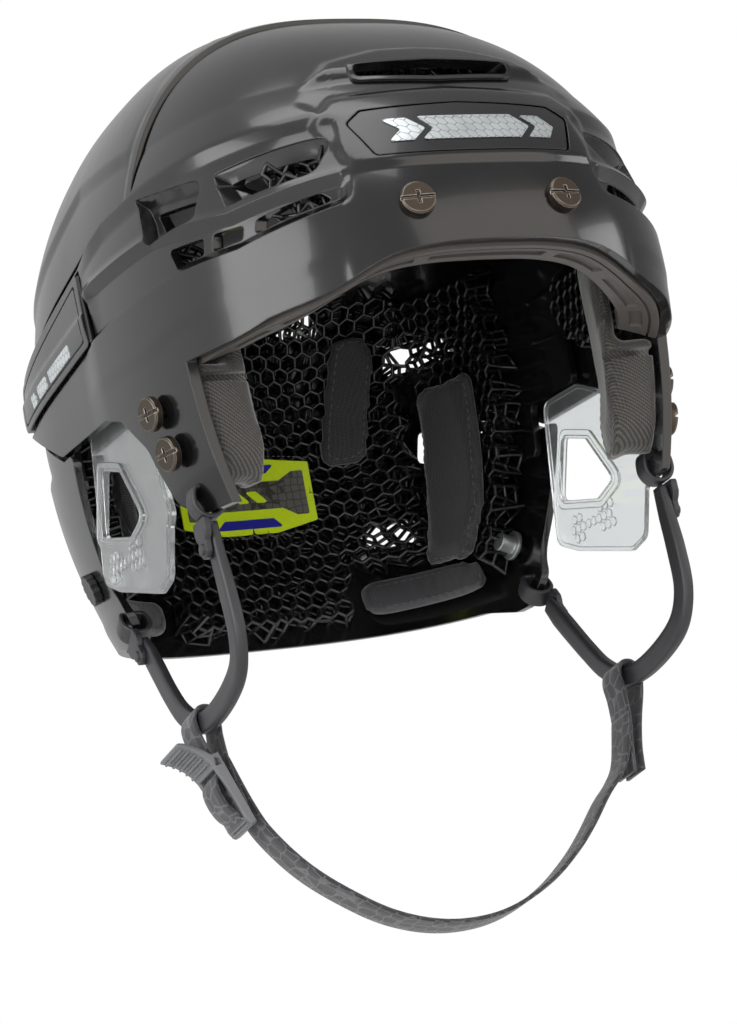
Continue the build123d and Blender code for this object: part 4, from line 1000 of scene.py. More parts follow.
def cell_metal(name, code, size):
    """Silver hot-stamped film: bright metal with a net of six-sided cells, some of it a little darker."""
    material, tree, shader = new_material(name)
    place = add(tree, "TexCoord").outputs["Object"]
    # Even six-sided cells: the nearest of two interleaved square grids, stretched by the root of three.
    parts = add(tree, "SeparateXYZ", {0: place})
    along = calc(tree, "ADD", parts.outputs["X"], parts.outputs["Y"])
    flat = add(tree, "CombineXYZ", {0: along, 1: parts.outputs["Z"]})
    grid = calc_vector(tree, "MULTIPLY", flat, (1 / (size * MM), 1 / (size * MM * 3**0.5), 0))
    far, across = [], []
    for shift in ((0, 0, 0), (0.5, 0.5, 0)):
        moved = calc_vector(tree, "ADD", grid, shift)
        inside = calc_vector(tree, "FRACTION", moved)
        centred = calc_vector(tree, "SUBTRACT", inside, (0.5, 0.5, 0))
        wide = calc_vector(tree, "MULTIPLY", centred, (1, 3**0.5, 0))
        off = add(tree, "SeparateXYZ", {0: centred})
        across.append(calc(tree, "ABSOLUTE", off.outputs["X"]).outputs[0])
        far.append(calc_vector(tree, "LENGTH", wide).outputs["Value"])
    apart = calc(tree, "SUBTRACT", far[0], far[1])
    side = calc(tree, "ABSOLUTE", apart)
    slanted = calc(tree, "MULTIPLY", side, 0.5)
    second = calc(tree, "GREATER_THAN", far[0], far[1])
    near = add(tree, "Mix", {"data_type": "FLOAT", 0: second, 2: across[0], 3: across[1]})
    upright = calc(tree, "SUBTRACT", 0.5, near)
    edge = calc(tree, "MINIMUM", slanted, upright)
    line = ramp(tree, edge, 0.02, 0.05, 0.3, 1.0)
    tint = noise(tree, 1 / (size * 2 * MM), 1.0, place)
    shade = mixed_colour(tree, 0.35, linear(code), tint, "MULTIPLY")
    dark = mixed_colour(tree, 1.0, shade, line, "MULTIPLY")
    bump = bumps(tree, line, 0.4, 0.0002)
    fill(tree, shader, {"Base Color": dark, "Metallic": 0.85, "Roughness": 0.3, "Normal": bump})
    return material


silver_cells = cell_metal("silver_film_hexagon_cells", "#E2E8EA", 3.4)


def latch_rise(q, z, points):
    """The latch plate's step along its length."""
    y = points[:, :, 1]
    fold = np.interp(y, [-6, 88], [28.5, 17.5])
    return 1.0 + 0.8 * smooth((fold - z + 1.2) / 1.6) - 0.5 * smooth((fold - z - 5) / 10)


def bar_low(y):
    """The line along the plate from which the silver bars' heights are measured."""
    return 17.2 - 0.118 * y


latch_span = (float(along_ring(102, -14)), float(quarter + slide_travel + 90))
for sign, side in ((1, "left"), (-1, "right")):
    span = latch_span if sign > 0 else (-latch_span[1], -latch_span[0])
    plate = dome_patch("latch_plate_" + side, span, (-3, 52), latch_rise, 0, stretch=slide_travel, step=1.2,
                       under=-1.6)
    outline = rounded([(4.3, 45.2), (-6.3, 15.3), (86, 5), (90, 24)], [2.5, 2, 4, 3])
    crop(plate, outline, "side", 40 * sign, far_side * sign)
    groove_out = rounded([(6.6, 42.0), (-2.7, 17.3), (83.6, 7.6), (87, 22.6)], 2)
    groove_in = rounded([(7.4, 40.9), (-1.7, 18.0), (82.9, 8.4), (86.1, 22.0)], 2)
    ring = prism(groove_out, "side", 60 * sign, 160 * sign)
    cut(ring, groove_in, "side", 50 * sign, far_side * sign)
    base = dome_body("groove_floor", latch_rise, inset=0.55, stretch=slide_travel, step=3.0)
    combine(ring, base, "DIFFERENCE")
    combine(plate, ring, "DIFFERENCE")
    finish_shell(plate, shell_material, 32)
    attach(plate, "latch_" + side)
    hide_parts("latch_" + side)
    bars = []
    for start, long in ((14, 26), (44, 12), (60, 6)):
        bar = dome_patch("bar", span, (2, 30), lambda q, z, p: latch_rise(q, z, p) + 0.25, 0.9,
                         stretch=slide_travel, step=1.2)
        near, far = bar_low(start), bar_low(start + long)
        shape = rounded([(start, near + 1.2), (start + long, far + 1.2), (start + long + 2.6, far + 6.4),
                         (start + 2.6, near + 6.4)], 0.8)
        crop(bar, shape, "side", 40 * sign, far_side * sign)
        bars.append(finish_shell(bar, silver_cells))
    bars = join("latch_bars_" + side, bars)
    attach(bars, "latch_" + side)


# Front badge.
# A dark plate snapped into the raised frame above the brow, with plain bars of silver six-sided cells.
badge_span = (-float(along_ring(48, -116)), float(along_ring(48, -116)))
badge_plate_line = [(-36.6, 43.6), (36.6, 43.6), (42.1, 57.7), (36.0, 62.4), (0, 64.3), (-36.0, 62.4),
                    (-42.1, 57.7)]
badge = dome_patch("badge_plate", badge_span, (38, 72), 2.35, 2.2, step=1.5)
crop(badge, rounded(badge_plate_line, 2.0), "front", far_front, -40)
finish_shell(badge, gloss_plastic("badge_plastic_satin_black", "#101012", 0.26))
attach(badge, "front")
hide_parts("badge_plate")
silver = []
for line in ([(-31, 48.4), (-22, 48.4), (-16.4, 53.2), (-22, 58), (-31, 58), (-25.4, 53.2)],
             [(-19, 48.4), (19, 48.4), (24, 53.2), (18, 58.4), (-18, 58.4), (-13.4, 53.2)],
             [(22, 48.4), (31, 48.4), (34.5, 53.2), (29.5, 58), (21.5, 58), (27, 53.2)]):
    bar = dome_patch("bar", badge_span, (46, 61), 2.75, 1.2, step=1.5)
    crop(bar, rounded(line, 0.7), "front", far_front, -40)
    silver.append(finish_shell(bar, silver_cells))
silver = join("badge_silver_cells", silver)
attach(silver, "front")
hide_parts("badge_inlay")


# Screws, knobs and fittings.
# Blackened steel machine screws with a slot across a short cross drive, their edges worn bright, and two
# ribbed nylon knobs low on the rear shell. Behind them sit zinc-plated T-nuts; the size racks are nylon.
def worn_metal(name, code, bare, rough):
    """Steel with a thin finish, worn bright in small chips along its edges, its shine a little uneven."""
    material, tree, shader = new_material(name)
    place = add(tree, "TexCoord").outputs["Object"]
    edge = add(tree, "Bevel", {"samples": 8, "Radius": 0.0006})
    flat = add(tree, "NewGeometry")
    turned = calc_vector(tree, "DOT_PRODUCT", edge, flat.outputs["Normal"])
    chips = noise(tree, 1 / (1.2 * MM), 4.0, place)
    worn = ramp(tree, turned.outputs["Value"], 0.985, 0.90)
    spotty = calc(tree, "MULTIPLY", worn, chips)
    mix = mixed_colour(tree, spotty, linear(code), linear(bare))
    shine = ramp(tree, chips, 0, 1, rough, rough + 0.18)
    bump = bumps(tree, chips, 0.15, 0.0001, edge)
    fill(tree, shader, {"Base Color": mix, "Metallic": 0.9, "Roughness": shine, "Normal": bump})
    return material


finishes = {
    "brow_screws": worn_metal("steel_screw_black_oxide", "#494139", "#BDB6AC", 0.24),
    "strap_screws": rubber_material("nylon_knob_moulded_black", "#161617", 0.34),
    "brow_nuts": worn_metal("steel_nut_zinc_plated", "#A9ABAB", "#C9C9C7", 0.32),
    "size_rack_left": rubber_material("nylon_rack_moulded_black", "#1B1B1C", 0.4),
    "latch_pins": worn_metal("steel_pin_black_oxide", "#3A3A3B", "#7E7E7E", 0.34),
}
finishes["temple_screws"] = finishes["brow_screws"]
finishes["temple_nuts"] = finishes["strap_nuts"] = finishes["brow_nuts"]
finishes["size_rack_right"] = finishes["size_rack_left"]
for item in bpy.data.objects:
    for node, finish in finishes.items():
        if item.type == "MESH" and item.name.split(".")[0] == node:
            for slot in item.material_slots:
                slot.material = finish


# Ear guards.
# Clear polycarbonate plates 2.5 mm thick that hang inside the rear edge of the front shell over each ear,
# with a five-sided opening, a raised rim round it, a bevelled edge and a few low six-sided studs below it.
def clear_plastic(name, code):
    """Clear moulded plastic: faint haze in soft clouds and fine scratches."""
    material, tree, shader = new_material(name)
    place = add(tree, "TexCoord").outputs["Object"]
    haze = noise(tree, 60.0, 5.0, place)
    dull = ramp(tree, haze, 0.35, 0.7, 0.03, 0.14)
    scratch = noise(tree, 900.0, 2.0, place)
    edge = add(tree, "Bevel", {"samples": 6, "Radius": 0.0006})
    bump = bumps(tree, scratch, 0.03, 0.0001, edge)
    fill(tree, shader,
         {"Base Color": linear(code), "Transmission Weight": 0.93, "IOR": 1.52, "Roughness": dull,
          "Normal": bump})
    return material


guard_line = [(2.7, -8.7), (32, -8.7), (40.8, -65.3), (24.5, -71.4), (-17.7, -80.9), (-29.2, -78.2),
              (-36.4, -61.2), (-40.8, -57.1), (-39.7, -52.4), (-32.4, -32), (-19.7, -17.7)]
hole_line = [(22, -25.8), (2.7, -31), (-13.1, -51), (1.4, -55.5), (33, -49)]
guard_clear = clear_plastic("polycarbonate_moulded_clear", "#EDF1F2")


def guard_piece():
    """One guard: plate, bevelled outer face, rim, opening and studs."""
    plate = prism(rounded(guard_line, 6), "side", 95.2, 97.0)
    combine(plate, prism(rounded(shrunk(guard_line, 1.6), 5), "side", 96.5, 97.7), "UNION")
    combine(plate, prism(rounded(shrunk(hole_line, -3.4), 5), "side", 96, 99.0), "UNION")
    cut(plate, rounded(shrunk(hole_line, -1.2), 4), "side", 98.2, 101)
    cut(plate, rounded(hole_line, 3), "side", 80, 110)
    for row in range(3):
        for column in range(8):
            y = -6 + 4.4 * column + 2.2 * (row % 2)
            z = -66.5 + 3.8 * row
            if row == 1 or not 6 < y < 17:
                cell = [(y + 1.9 * math.cos(math.radians(60 * k + 30)),
                         z + 1.9 * math.sin(math.radians(60 * k + 30))) for k in range(6)]
                combine(plate, prism(cell, "side", 97.2, 98.4), "UNION")
    return plate


for side in ("left", "right"):
    guard = finish_shell(guard_piece(), guard_clear, 25)
    if side == "right":
        other = mirrored(guard, "guard")
        bpy.data.objects.remove(guard)
        guard = other
    guard.name = "ear_guard_clear_" + side
    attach(guard, "front")
    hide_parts("ear_guard_" + side)


# Brow lip.
# A soft moulded strip that finishes the liner's lower edge inside the brow. A groove runs along its
# underside, with a row of sunk panels behind it.
trim_half = [(x, z - 1.5) for x, z in smooth_path(brow_places, 4)]
trim_line = [(-x, z) for x, z in trim_half[::-1]] + trim_half[1:]
trim_line += [(x, z + 7) for x, z in trim_line[::-1]]
trim_reach = float(along_ring(92, -70))
trim = dome_patch("brow_lip", (-trim_reach, trim_reach), (-14, 18), 0.0, 14.6, inset=3.7, step=1.8)
crop(trim, trim_line, "front", far_front, -72)
lip_low = [(x, z - 3) for x, z in trim_line[:len(trim_line) // 2]]
lip_low += [(x, z + 4.1) for x, z in lip_low[::-1]]
panels = [(-24, 24), (30, 52), (58, 84), (90, 108), (-30, -52), (-58, -84), (-90, -108)]
for near, far in panels:
    panel = dome_patch("panel", (min(near, far), max(near, far)), (-18, 18), 0.0, 4.6, inset=9.4, step=1.8)
    combine(trim, crop(panel, lip_low, "front", far_front, -60), "DIFFERENCE")
groove = dome_patch("groove", (-trim_reach - 4, trim_reach + 4), (-18, 18), 0.0, 0.9, inset=6.6, step=1.8)
combine(trim, crop(groove, lip_low, "front", far_front, -60), "DIFFERENCE")
finish_shell(trim, rubber_material("elastomer_lip_moulded_grey", "#474340", 0.45))
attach(trim, "front")
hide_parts("brow_trim")


# Printed lattice liner.
# Blocks of black elastomer, printed as an open net of cells about 6 mm wide and 13 mm deep, glued inside both
# shells. Each block has three nets, one behind the other from the shell inward, and slanting struts between.
def seen_point(view, a, b, inset):
    """The dome's point behind a place in the side (y, z), front or rear (x, z) or top view (x, y)."""
    if view == "top":
        turn, reach = np.arctan2(a, set_back - b), np.hypot(a, b - set_back)
        low, high = np.zeros_like(a), np.full_like(a, crown_height - inset - 0.01)
        for _ in range(30):
            middle = (low + high) / 2
            x, y = ring_point(turn, middle, inset)
            inner = np.hypot(x, y - set_back) > reach
            low, high = np.where(inner, middle, low), np.where(inner, high, middle)
        return np.stack([a, b, low], -1)
    side, front, rear = ring_radii(b, inset)
    if view == "side":
        reach, power = np.where(a < set_back, front, rear), np.where(a < set_back, 2.63, 2.85)
        return np.stack([side * fall(np.abs(a - set_back) / reach, power), a, b], -1)
    if view == "front":
        return np.stack([a, set_back - front * fall(np.abs(a) / side, 2.63), b], -1)
    return np.stack([a, set_back + rear * fall(np.abs(a) / side, 2.85), b], -1)


def inside_outline(points, a, b):
    """Whether places lie in an outline of any form."""
    found = np.zeros(np.shape(a), bool)
    for (xa, ya), (xb, yb) in zip(points, points[1:] + points[:1]):
        if ya != yb:
            found ^= ((ya > b) != (yb > b)) & (a < (xb - xa) * (b - ya) / (yb - ya) + xa)
    return found


net_spacing, row_rise = 6.2, 0.866


def net_base(name, view, line, inset, spacing=net_spacing):
    """A sheet of even triangles over an outline, from which the lattice's nets are made."""
    line = [tuple(map(float, p)) for p in line]
    wide, high = [p[0] for p in line], [p[1] for p in line]
    rows = int((max(high) - min(high)) / (spacing * row_rise)) + 2
    columns = int((max(wide) - min(wide)) / spacing) + 2
    a = np.array([[min(wide) + (c + 0.5 * (r % 2)) * spacing for c in range(columns)] for r in range(rows)])
    b = np.array([[min(high) + r * spacing * row_rise for c in range(columns)] for r in range(rows)])
    points = seen_point(view, a, b, inset)
    kept = inside_outline(line, a, b) & np.isfinite(points).all(-1)
    faces = []
    for r in range(rows - 1):
        for c in range(columns - 1):
            here, right = (r, c), (r, c + 1)
            up, upright = (r + 1, c), (r + 1, c + 1)
            pairs = [(here, right, up), (right, upright, up)]
            if r % 2:
                pairs = [(here, right, upright), (here, upright, up)]
            for triangle in pairs:
                if all(kept[p] for p in triangle):
                    faces.append(tuple(p[0] * columns + p[1] for p in triangle))
    piece = new_piece(name, np.nan_to_num(points).reshape(-1, 3) * MM, faces)
    tidy = bmesh.new()
    tidy.from_mesh(piece.data)
    bmesh.ops.delete(tidy, geom=[v for v in tidy.verts if not v.link_faces], context="VERTS")
    for face in tidy.faces:
        middle = face.calc_center_median() - Vector((0, 0.01, 0.01))
        if face.normal.dot(middle) > 0:
            face.normal_flip()
    tidy.to_mesh(piece.data)
    tidy.free()
    return piece


def node_tree(name, inputs):
    """An empty geometry node tree with its inputs."""
    tree = bpy.data.node_groups.new(name, "GeometryNodeTree")
    tree.interface.new_socket("Geometry", in_out="INPUT", socket_type="NodeSocketGeometry")
    for label, kind in inputs:
        tree.interface.new_socket(label, in_out="INPUT", socket_type=kind)
    tree.interface.new_socket("Geometry", in_out="OUTPUT", socket_type="NodeSocketGeometry")
    return tree, tree.nodes.new("NodeGroupInput"), tree.nodes.new("NodeGroupOutput")


lattice_inputs = [("Strut radius", "NodeSocketFloat"), ("Depth", "NodeSocketFloat"),
                  ("Wander", "NodeSocketFloat"), ("Slant", "NodeSocketFloat"), ("Seed", "NodeSocketInt"),
                  ("Material", "NodeSocketMaterial")]
lattice_tree, given, result = node_tree("printed_lattice", lattice_inputs)
any_way = {"data_type": "FLOAT_VECTOR", 0: (-1, -1, -1), 1: (1, 1, 1)}
random_way = add(lattice_tree, "RandomValue", {**any_way, "Seed": given.outputs["Seed"]})
wander = add(lattice_tree, "VectorMath",
             {"operation": "SCALE", 0: random_way, "Scale": given.outputs["Wander"]})
loose = add(lattice_tree, "SetPosition", {"Geometry": given.outputs["Geometry"], "Offset": wander})
near_net = add(lattice_tree, "DualMesh", {0: loose})
way = add(lattice_tree, "InputNormal")
half_deep = calc(lattice_tree, "MULTIPLY", given.outputs["Depth"], -0.5)
straight_in = add(lattice_tree, "VectorMath", {"operation": "SCALE", 0: way, "Scale": half_deep})
other_way = add(lattice_tree, "RandomValue", {**any_way, "Seed": 31})
slant = add(lattice_tree, "VectorMath", {"operation": "SCALE", 0: other_way, "Scale": given.outputs["Slant"]})
step_in = calc_vector(lattice_tree, "ADD", straight_in, slant)
middle_net = add(lattice_tree, "SetPosition", {"Geometry": near_net, "Offset": step_in})
far_net = add(lattice_tree, "SetPosition", {"Geometry": middle_net, "Offset": step_in})
struts = []
for net in (near_net, middle_net):
    rods = add(lattice_tree, "ExtrudeMesh", {"mode": "VERTICES", "Mesh": net, "Offset": step_in})
    struts.append(rods)
joined = add(lattice_tree, "JoinGeometry")
for source in struts + [far_net]:
    lattice_tree.links.new(source.outputs[0], joined.inputs[0])
lines = add(lattice_tree, "MeshToCurve", {"Mesh": joined})
section = add(lattice_tree, "CurvePrimitiveCircle",
              {"Resolution": 5, "Radius": given.outputs["Strut radius"]})
tubes = add(lattice_tree, "CurveToMesh", {"Fill Caps": True, "Curve": lines, "Profile Curve": section})
whole = add(lattice_tree, "RealizeInstances", {"Geometry": tubes})
dressed = add(lattice_tree, "SetMaterial", {"Geometry": whole, "Material": given.outputs["Material"]})
lattice_tree.links.new(dressed.outputs[0], result.inputs[0])


def grown(piece, tree, values):
    """Runs a node tree on a piece with its inputs set by name, and keeps the plain mesh."""
    work = piece.modifiers.new("work", "NODES")
    work.node_group = tree
    for item in tree.interface.items_tree:
        if item.in_out == "INPUT" and item.name in values:
            work[item.identifier] = values[item.name]
    piece.data = baked(piece)
    piece.data.shade_smooth()
    return piece


lattice_black = rubber_material("elastomer_printed_lattice", "#141415", 0.24)
lattice_form = {"Strut radius": 0.85 * MM, "Depth": 12.6 * MM, "Wander": 0.9 * MM, "Slant": 1.5 * MM,
                "Seed": 7, "Material": lattice_black}
lattices = [
    ("forehead_lattice", "front", "front", 17.2, [(-62, 19), (62, 19), (62, 66), (-62, 66)]),
    ("crown_lattice", "rear", "top", 21.2, [(-59, -41), (59, -41), (59, 71), (-59, 71)]),
    ("rear_lattice", "rear", "rear", 17.2,
     [(-39, -75), (39, -75), (39, -54), (70, -54), (70, 63), (-70, 63), (-70, -54), (-39, -54)]),
    ("side_lattice", "front", "side", 17.2, [(-66, 39), (-66, -7), (-15, -2), (1, 7), (1, 31)]),
    ("rear_side_lattice", "rear", "side", 19.2,
     [(49, 56), (49, -14), (60, -70), (73, -67), (76, -54), (100, -54), (100, 56)]),
]
for name, body, view, inset, line in lattices:
    net = grown(net_base(name + "_net", view, line, inset), lattice_tree, lattice_form)
    copies = [(net, name)]
    if view == "side":
        copies = [(net, name + "_left"), (mirrored(net, name + "_net_right"), name + "_right")]
    for piece, node in copies:
        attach(piece, body)
        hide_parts(node)


# Fabric pads.
# Thin foam pads in black knit, sewn round the edge: two at the temples, strips over the crown and brow, two
# beside the ears and two ribs at the back. A pair of smooth neoprene sits low at the rear corners.
def knit_material(name, dark, crest_highlight_code, rib, course, sheen, lean=0.0):
    """Ribbed polyester knit: raised ribs with finer stitches across; the crests of the ribs are painted
    lighter, a painted highlight of the knit's shine.
    """
    material, tree, shader = new_material(name)
    place = add(tree, "TexCoord").outputs["Object"]
    parts = add(tree, "SeparateXYZ", {0: place})
    round_about = calc(tree, "ADD", parts.outputs["X"], parts.outputs["Y"])
    leaning = calc(tree, "MULTIPLY_ADD", round_about, lean, parts.outputs["Z"])
    rib_rate = 2 * math.pi / (rib * MM) / math.hypot(1, lean)
    rows = calc(tree, "MULTIPLY", leaning, rib_rate)
    row = calc(tree, "SINE", rows)
    columns = calc(tree, "MULTIPLY", round_about, 2 * math.pi / (course * MM))
    column = calc(tree, "SINE", columns)
    both_ways = calc(tree, "MULTIPLY_ADD", column, 0.45, row)
    height = ramp(tree, both_ways, -1.45, 1.45)
    fuzz = noise(tree, 1 / (0.5 * MM), 3.0, place)
    rib_relief_and_highlight = calc(tree, "MULTIPLY", height, fuzz)
    # The second colour on the rib crests is a painted highlight; the same pattern also drives the real rib
    # bump.
    colour = mixed_colour(tree, rib_relief_and_highlight, linear(dark), linear(crest_highlight_code))
    bump = bumps(tree, rib_relief_and_highlight, 0.6, 0.0003)
    fill(tree, shader,
         {"Base Color": colour, "Roughness": 0.8, "Sheen Weight": sheen, "Sheen Roughness": 0.4,
          "Normal": bump})
    return material


def neoprene_material(name, code):
    """Smooth laminated neoprene: very fine matt grain with soft, wide shine."""
    material, tree, shader = new_material(name)
    place = add(tree, "TexCoord").outputs["Object"]
    grain = add(tree, "TexVoronoi", {"Scale": 1 / (0.45 * MM), "Vector": place})
    soft = noise(tree, 70.0, 3.0, place)
    shine = ramp(tree, soft, 0, 1, 0.5, 0.7)
    bump = bumps(tree, grain, 0.25, 0.0001)
    fill(tree, shader, {"Base Color": linear(code), "Roughness": shine, "Sheen Weight": 0.35, "Normal": bump})
    return material


def swelled(piece, voxel, cap, pressure=4.0):
    """A padded form: remeshed and blown up a little as cloth, no point moving further than the cap."""
    work = piece.modifiers.new("even", "REMESH")
    work.mode = "VOXEL"
    work.voxel_size = voxel * MM
    piece.data = baked(piece)
    start = np.array([v.co for v in piece.data.vertices])
    cloth = piece.modifiers.new("cloth", "CLOTH")
    cloth.settings.use_pressure = True
    cloth.settings.uniform_pressure_force = pressure
    cloth.settings.tension_stiffness = cloth.settings.compression_stiffness = 8
    cloth.settings.effector_weights.gravity = 0
    cloth.point_cache.frame_end = last_frame = 20
    for moment in range(1, last_frame + 1):
        bpy.context.scene.frame_set(moment)
    mesh = baked(piece)
    bpy.context.scene.frame_set(1)
    moved = np.array([v.co for v in mesh.vertices]) - start
    far = np.linalg.norm(moved, axis=1)
    held = start + moved * np.minimum(1, cap * MM / np.maximum(far, 1e-9))[:, None]
    mesh.vertices.foreach_set("co", held.reshape(-1))
    piece.data = mesh
    return piece


def smoothed(piece):
    """A piece with its mesh refined once."""
    work = piece.modifiers.new("fine", "SUBSURF")
    work.levels = work.render_levels = 1
    piece.data = baked(piece)
    piece.data.shade_smooth()
    return piece


stitch_inputs = [("Pitch", "NodeSocketFloat"), ("Length", "NodeSocketFloat"),
                 ("Thread radius", "NodeSocketFloat"), ("Material", "NodeSocketMaterial")]
stitch_tree, given, result = node_tree("stitches", stitch_inputs)
seam = add(stitch_tree, "MeshToCurve", {"Mesh": given.outputs["Geometry"]})
spots = add(stitch_tree, "CurveToPoints", {"mode": "LENGTH", "Curve": seam, "Length": given.outputs["Pitch"]})
thread = add(stitch_tree, "MeshUVSphere", {"Segments": 6, "Rings": 5, "Radius": 1.0})
shape = add(stitch_tree, "CombineXYZ",
            {"X": given.outputs["Thread radius"], "Y": given.outputs["Thread radius"],
             "Z": given.outputs["Length"]})
placed = add(stitch_tree, "InstanceOnPoints",
             {"Points": spots.outputs["Points"], "Instance": thread, "Rotation": spots.outputs["Rotation"],
              "Scale": shape})
whole = add(stitch_tree, "RealizeInstances", {"Geometry": placed})
dressed = add(stitch_tree, "SetMaterial", {"Geometry": whole, "Material": given.outputs["Material"]})
stitch_tree.links.new(dressed.outputs[0], result.inputs[0])


def stitches(name, path, material, pitch=3.4, length=1.15, radius=0.26):
    """Threads along a path of points in millimetres."""
    points = [tuple(np.array(p) * MM) for p in path]
    mesh = bpy.data.meshes.new(name)
    mesh.from_pydata(points, [(k, k + 1) for k in range(len(points) - 1)], [])
    return grown(in_scene(name, mesh), stitch_tree,
                 {"Pitch": pitch * MM, "Length": length * MM, "Thread radius": radius * MM,
                  "Material": material})


def between(piece, face, back):
    """Keeps what of a piece lies between two depths under the dome's surface."""
    combine(piece, dome_body("face", None, inset=face, step=3.0, low=below_skirt), "INTERSECT")
    combine(piece, dome_body("back", None, inset=back, step=3.0, low=below_skirt - 10), "DIFFERENCE")
    return piece


def soft_pad(name, view, line, outer, thick, material, start=15, corner=6, voxel=2.0, cap=1.6):
    """A sewn pad on the inner side of the liner, from its outline in one view."""
    wraps = name.startswith("temple_pad")
    body = prism(rounded(shrunk(line, 1.6), corner), view, start)
    between(body, outer + 0.7, outer + thick - 0.9)
    if wraps:
        front_part = prism(rounded(shrunk(temple_wrap_line, 0.6), 1.5), "side", start)
        combine(body, between(front_part, 5.6, outer + 2.5), "UNION")
    body.name = name
    swelled(body, voxel, cap)
    smoothed(body)
    if wraps:
        cut(body, rounded(temple_notch, 1.4), "side", start)
        body.data.shade_smooth()
    body.data.materials.clear()
    body.data.materials.append(material)
    body.data.polygons.foreach_set("material_index", [0] * len(body.data.polygons))
    seam_line = rounded(shrunk(line, 4.2), corner)
    dense = smooth_path(seam_line + seam_line[:1], 1.5)
    over = seen_point(view, dense[:, 0], dense[:, 1], outer + thick - 0.9)
    inner = seen_point(view, dense[:, 0], dense[:, 1], outer + thick + 12)
    path = []
    for a, b in zip(over, inner):
        way = Vector(a - b).normalized()
        hit, spot, normal, index = body.ray_cast(Vector(b) * MM, way)
        if hit:
            path.append(np.array(spot) / MM - np.array(way) * 0.05)
    return body, stitches(name + "_stitches", path, thread_grey) if len(path) > 8 else None


thread_grey = rubber_material("polyester_thread_grey", "#4A4A4B", 0.6)
# In each knit the lighter second colour is the painted highlight on the rib crests.
knit_black = knit_material("knit_ribbed_black", "#0F0F10", "#6C6861", 1.15, 0.8, 0.6, lean=0.8)
mesh_black = knit_material("knit_mesh_black", "#101011", "#4A4A4C", 0.95, 0.95, 0.4)
neoprene = neoprene_material("neoprene_black", "#2A2A2D")
temple_wrap_line = [(-62, -9.5), (-69.8, -9.5), (-69.8, -43), (-66, -50), (-58.5, -54.5), (-56, -50),
                    (-62, -46.5)]
temple_notch = [(-73, -17.4), (-64.5, -17.4), (-64.5, -13.6), (-73, -13.6)]
pads = [
    ("forehead_pad", "front", "front", 17.9, 5.0, mesh_black, -76,
     [(-52, 17.5), (52, 17.5), (52, 40.5), (-52, 40.5)]),
    ("crown_pad", "rear", "top", 22.1, 5.0, mesh_black, 84,
     [(-13.5, -35), (13.5, -35), (13.5, 51), (-13.5, 51)]),
    ("occipital_pad", "rear", "rear", 3.5, 9.0, neoprene, 77,
     [(44.5, -75.5), (83.5, -75.5), (79.3, -57.5), (42.5, -57.5)]),
    ("temple_pad", "front", "side", 17.9, 5.0, knit_black, 37,
     [(-41.3, 26.8), (-67.5, 26.8), (-69.6, 0), (-69.6, -40.5), (-63.6, -55.3), (-52, -55.3), (-42.8, -43.2),
      (-46.8, -24.5), (-44, 0)]),
    ("rear_side_pad", "rear", "side", 22.1, 5.0, mesh_black, 37,
     [(57, 16), (57, -41), (65.5, -64.5), (92.5, -62), (92.5, 16)]),
    ("rear_rib", "rear", "rear", 17.9, 5.0, mesh_black, 105,
     [(32, -10.5), (54, -10.5), (62.5, 45.5), (42, 45.5)]),
]
for name, body, view, outer, thick, material, start, line in pads:
    pad, seam = soft_pad(name + "_sewn", view, line, outer, thick, material, start)
    copies = [(pad, seam, name)]
    if name in ("temple_pad", "rear_side_pad", "rear_rib", "occipital_pad"):
        copies = [(pad, seam, name + "_left"),
                  (mirrored(pad, name + "_sewn_right"), seam and mirrored(seam, name + "_stitches_right"),
                   name + "_right")]
    for piece, threads, node in copies:
        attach(piece, body)
        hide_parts(node)
        if threads:
            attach(threads, body)


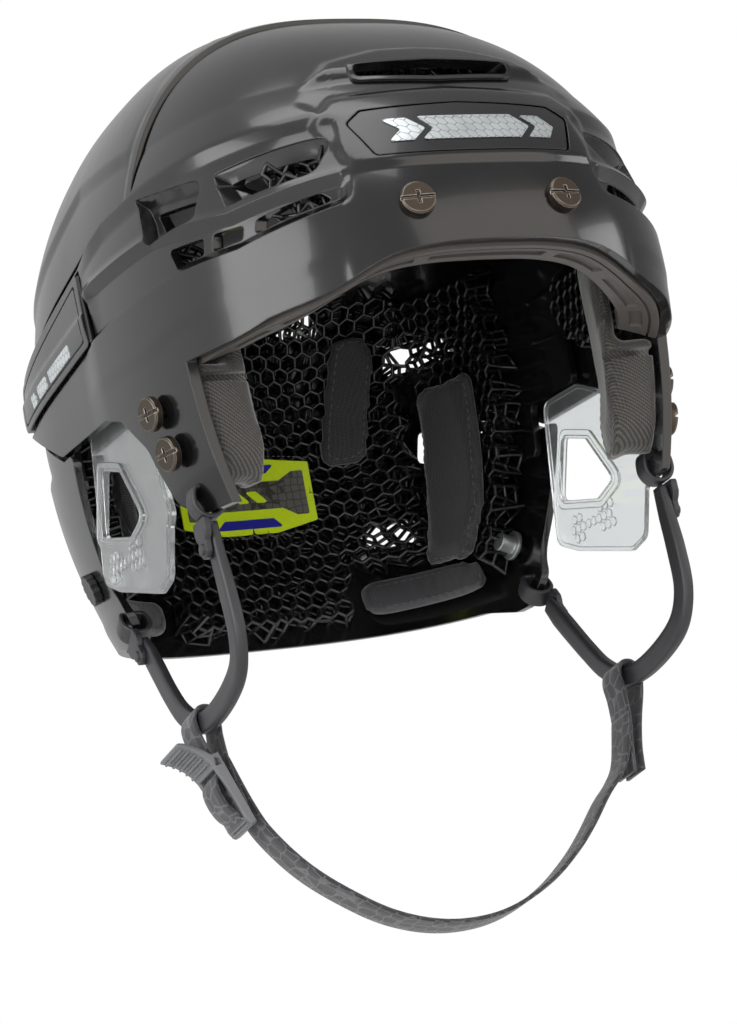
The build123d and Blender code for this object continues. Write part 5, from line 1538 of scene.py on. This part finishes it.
# Liner label.
# A printed film patch on the rear lattice: lime yellow with a dark panel of six-sided cells and blue bars,
# in a plain design of its own, sewn on along its upper and lower edges.
def printed_film(name, code, cells=None):
    """Printed film of one uneven colour, with dark lines between cells where their size is given."""
    material, tree, shader = new_material(name)
    place = add(tree, "TexCoord").outputs["Object"]
    dots = noise(tree, 1 / (0.7 * MM), 2.0, place)
    tone = ramp(tree, dots, 0, 1, 0.82, 1.05)
    source = tone.outputs[0]
    if cells:
        net = add(tree, "TexVoronoi",
                  {"feature": "DISTANCE_TO_EDGE", "Scale": 1 / (cells * MM), "Randomness": 0.3,
                   "Vector": place})
        line = ramp(tree, net, 0.03, 0.08, 0.25, 1.0)
        source = calc(tree, "MULTIPLY", tone, line).outputs[0]
    mix = mixed_colour(tree, 1.0, linear(code), source, "MULTIPLY")
    fill(tree, shader, {"Base Color": mix, "Roughness": 0.38})
    return material


film_lime = printed_film("film_printed_lime", "#C3DC0A")
film_panel = printed_film("film_printed_cells", "#55544E", 3.2)
film_blue = printed_film("film_printed_blue", "#16188A")
label_line = [(-30, -30), (-12, -34), (12, -34), (30, -30), (30, -4.5), (12, -2), (-12, -2), (-30, -4.5)]
panel_line = [(-27, -27), (-22, -27), (-16, -23.5), (16, -23.5), (22, -27), (27, -27), (27, -8), (22, -8),
              (16, -11.5), (-16, -11.5), (-22, -8), (-27, -8)]
label_parts = [
    (label_line, 17.6, 0.9, film_lime),
    (panel_line, 18.4, 0.25, film_panel),
    ([(-15, -31.6), (15, -31.6), (11, -27.6), (-11, -27.6)], 18.4, 0.25, film_blue),
    ([(-15, -4.4), (15, -4.4), (11, -8), (-11, -8)], 18.4, 0.25, film_blue),
    ([(-8, -15.5), (-3, -20.5), (2, -20.5), (-3, -15.5)], 18.55, 0.25, film_lime),
    ([(0, -15.5), (5, -20.5), (10, -20.5), (5, -15.5)], 18.55, 0.25, film_lime),
]
pieces = []
for line, depth, thick, film in label_parts:
    part = dome_layer("film", depth, depth + thick, 2.5)
    crop(part, rounded(line, 0.8), "rear", 105)
    pieces.append(finish_shell(part, film))
label = join("liner_label", pieces)
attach(label, "rear")
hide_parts("liner_patch")
threads = []
for z in (-0.2, -35.6):
    across = np.linspace(-29, 29, 40)
    over = seen_point("rear", across, z - np.sign(z + 18) * 2.3 * (np.abs(across) / 29) ** 2, 18.2)
    threads.append(stitches("seam", over, thread_grey, pitch=2.2, length=0.75))
threads = join("liner_label_stitches", threads)
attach(threads, "rear")
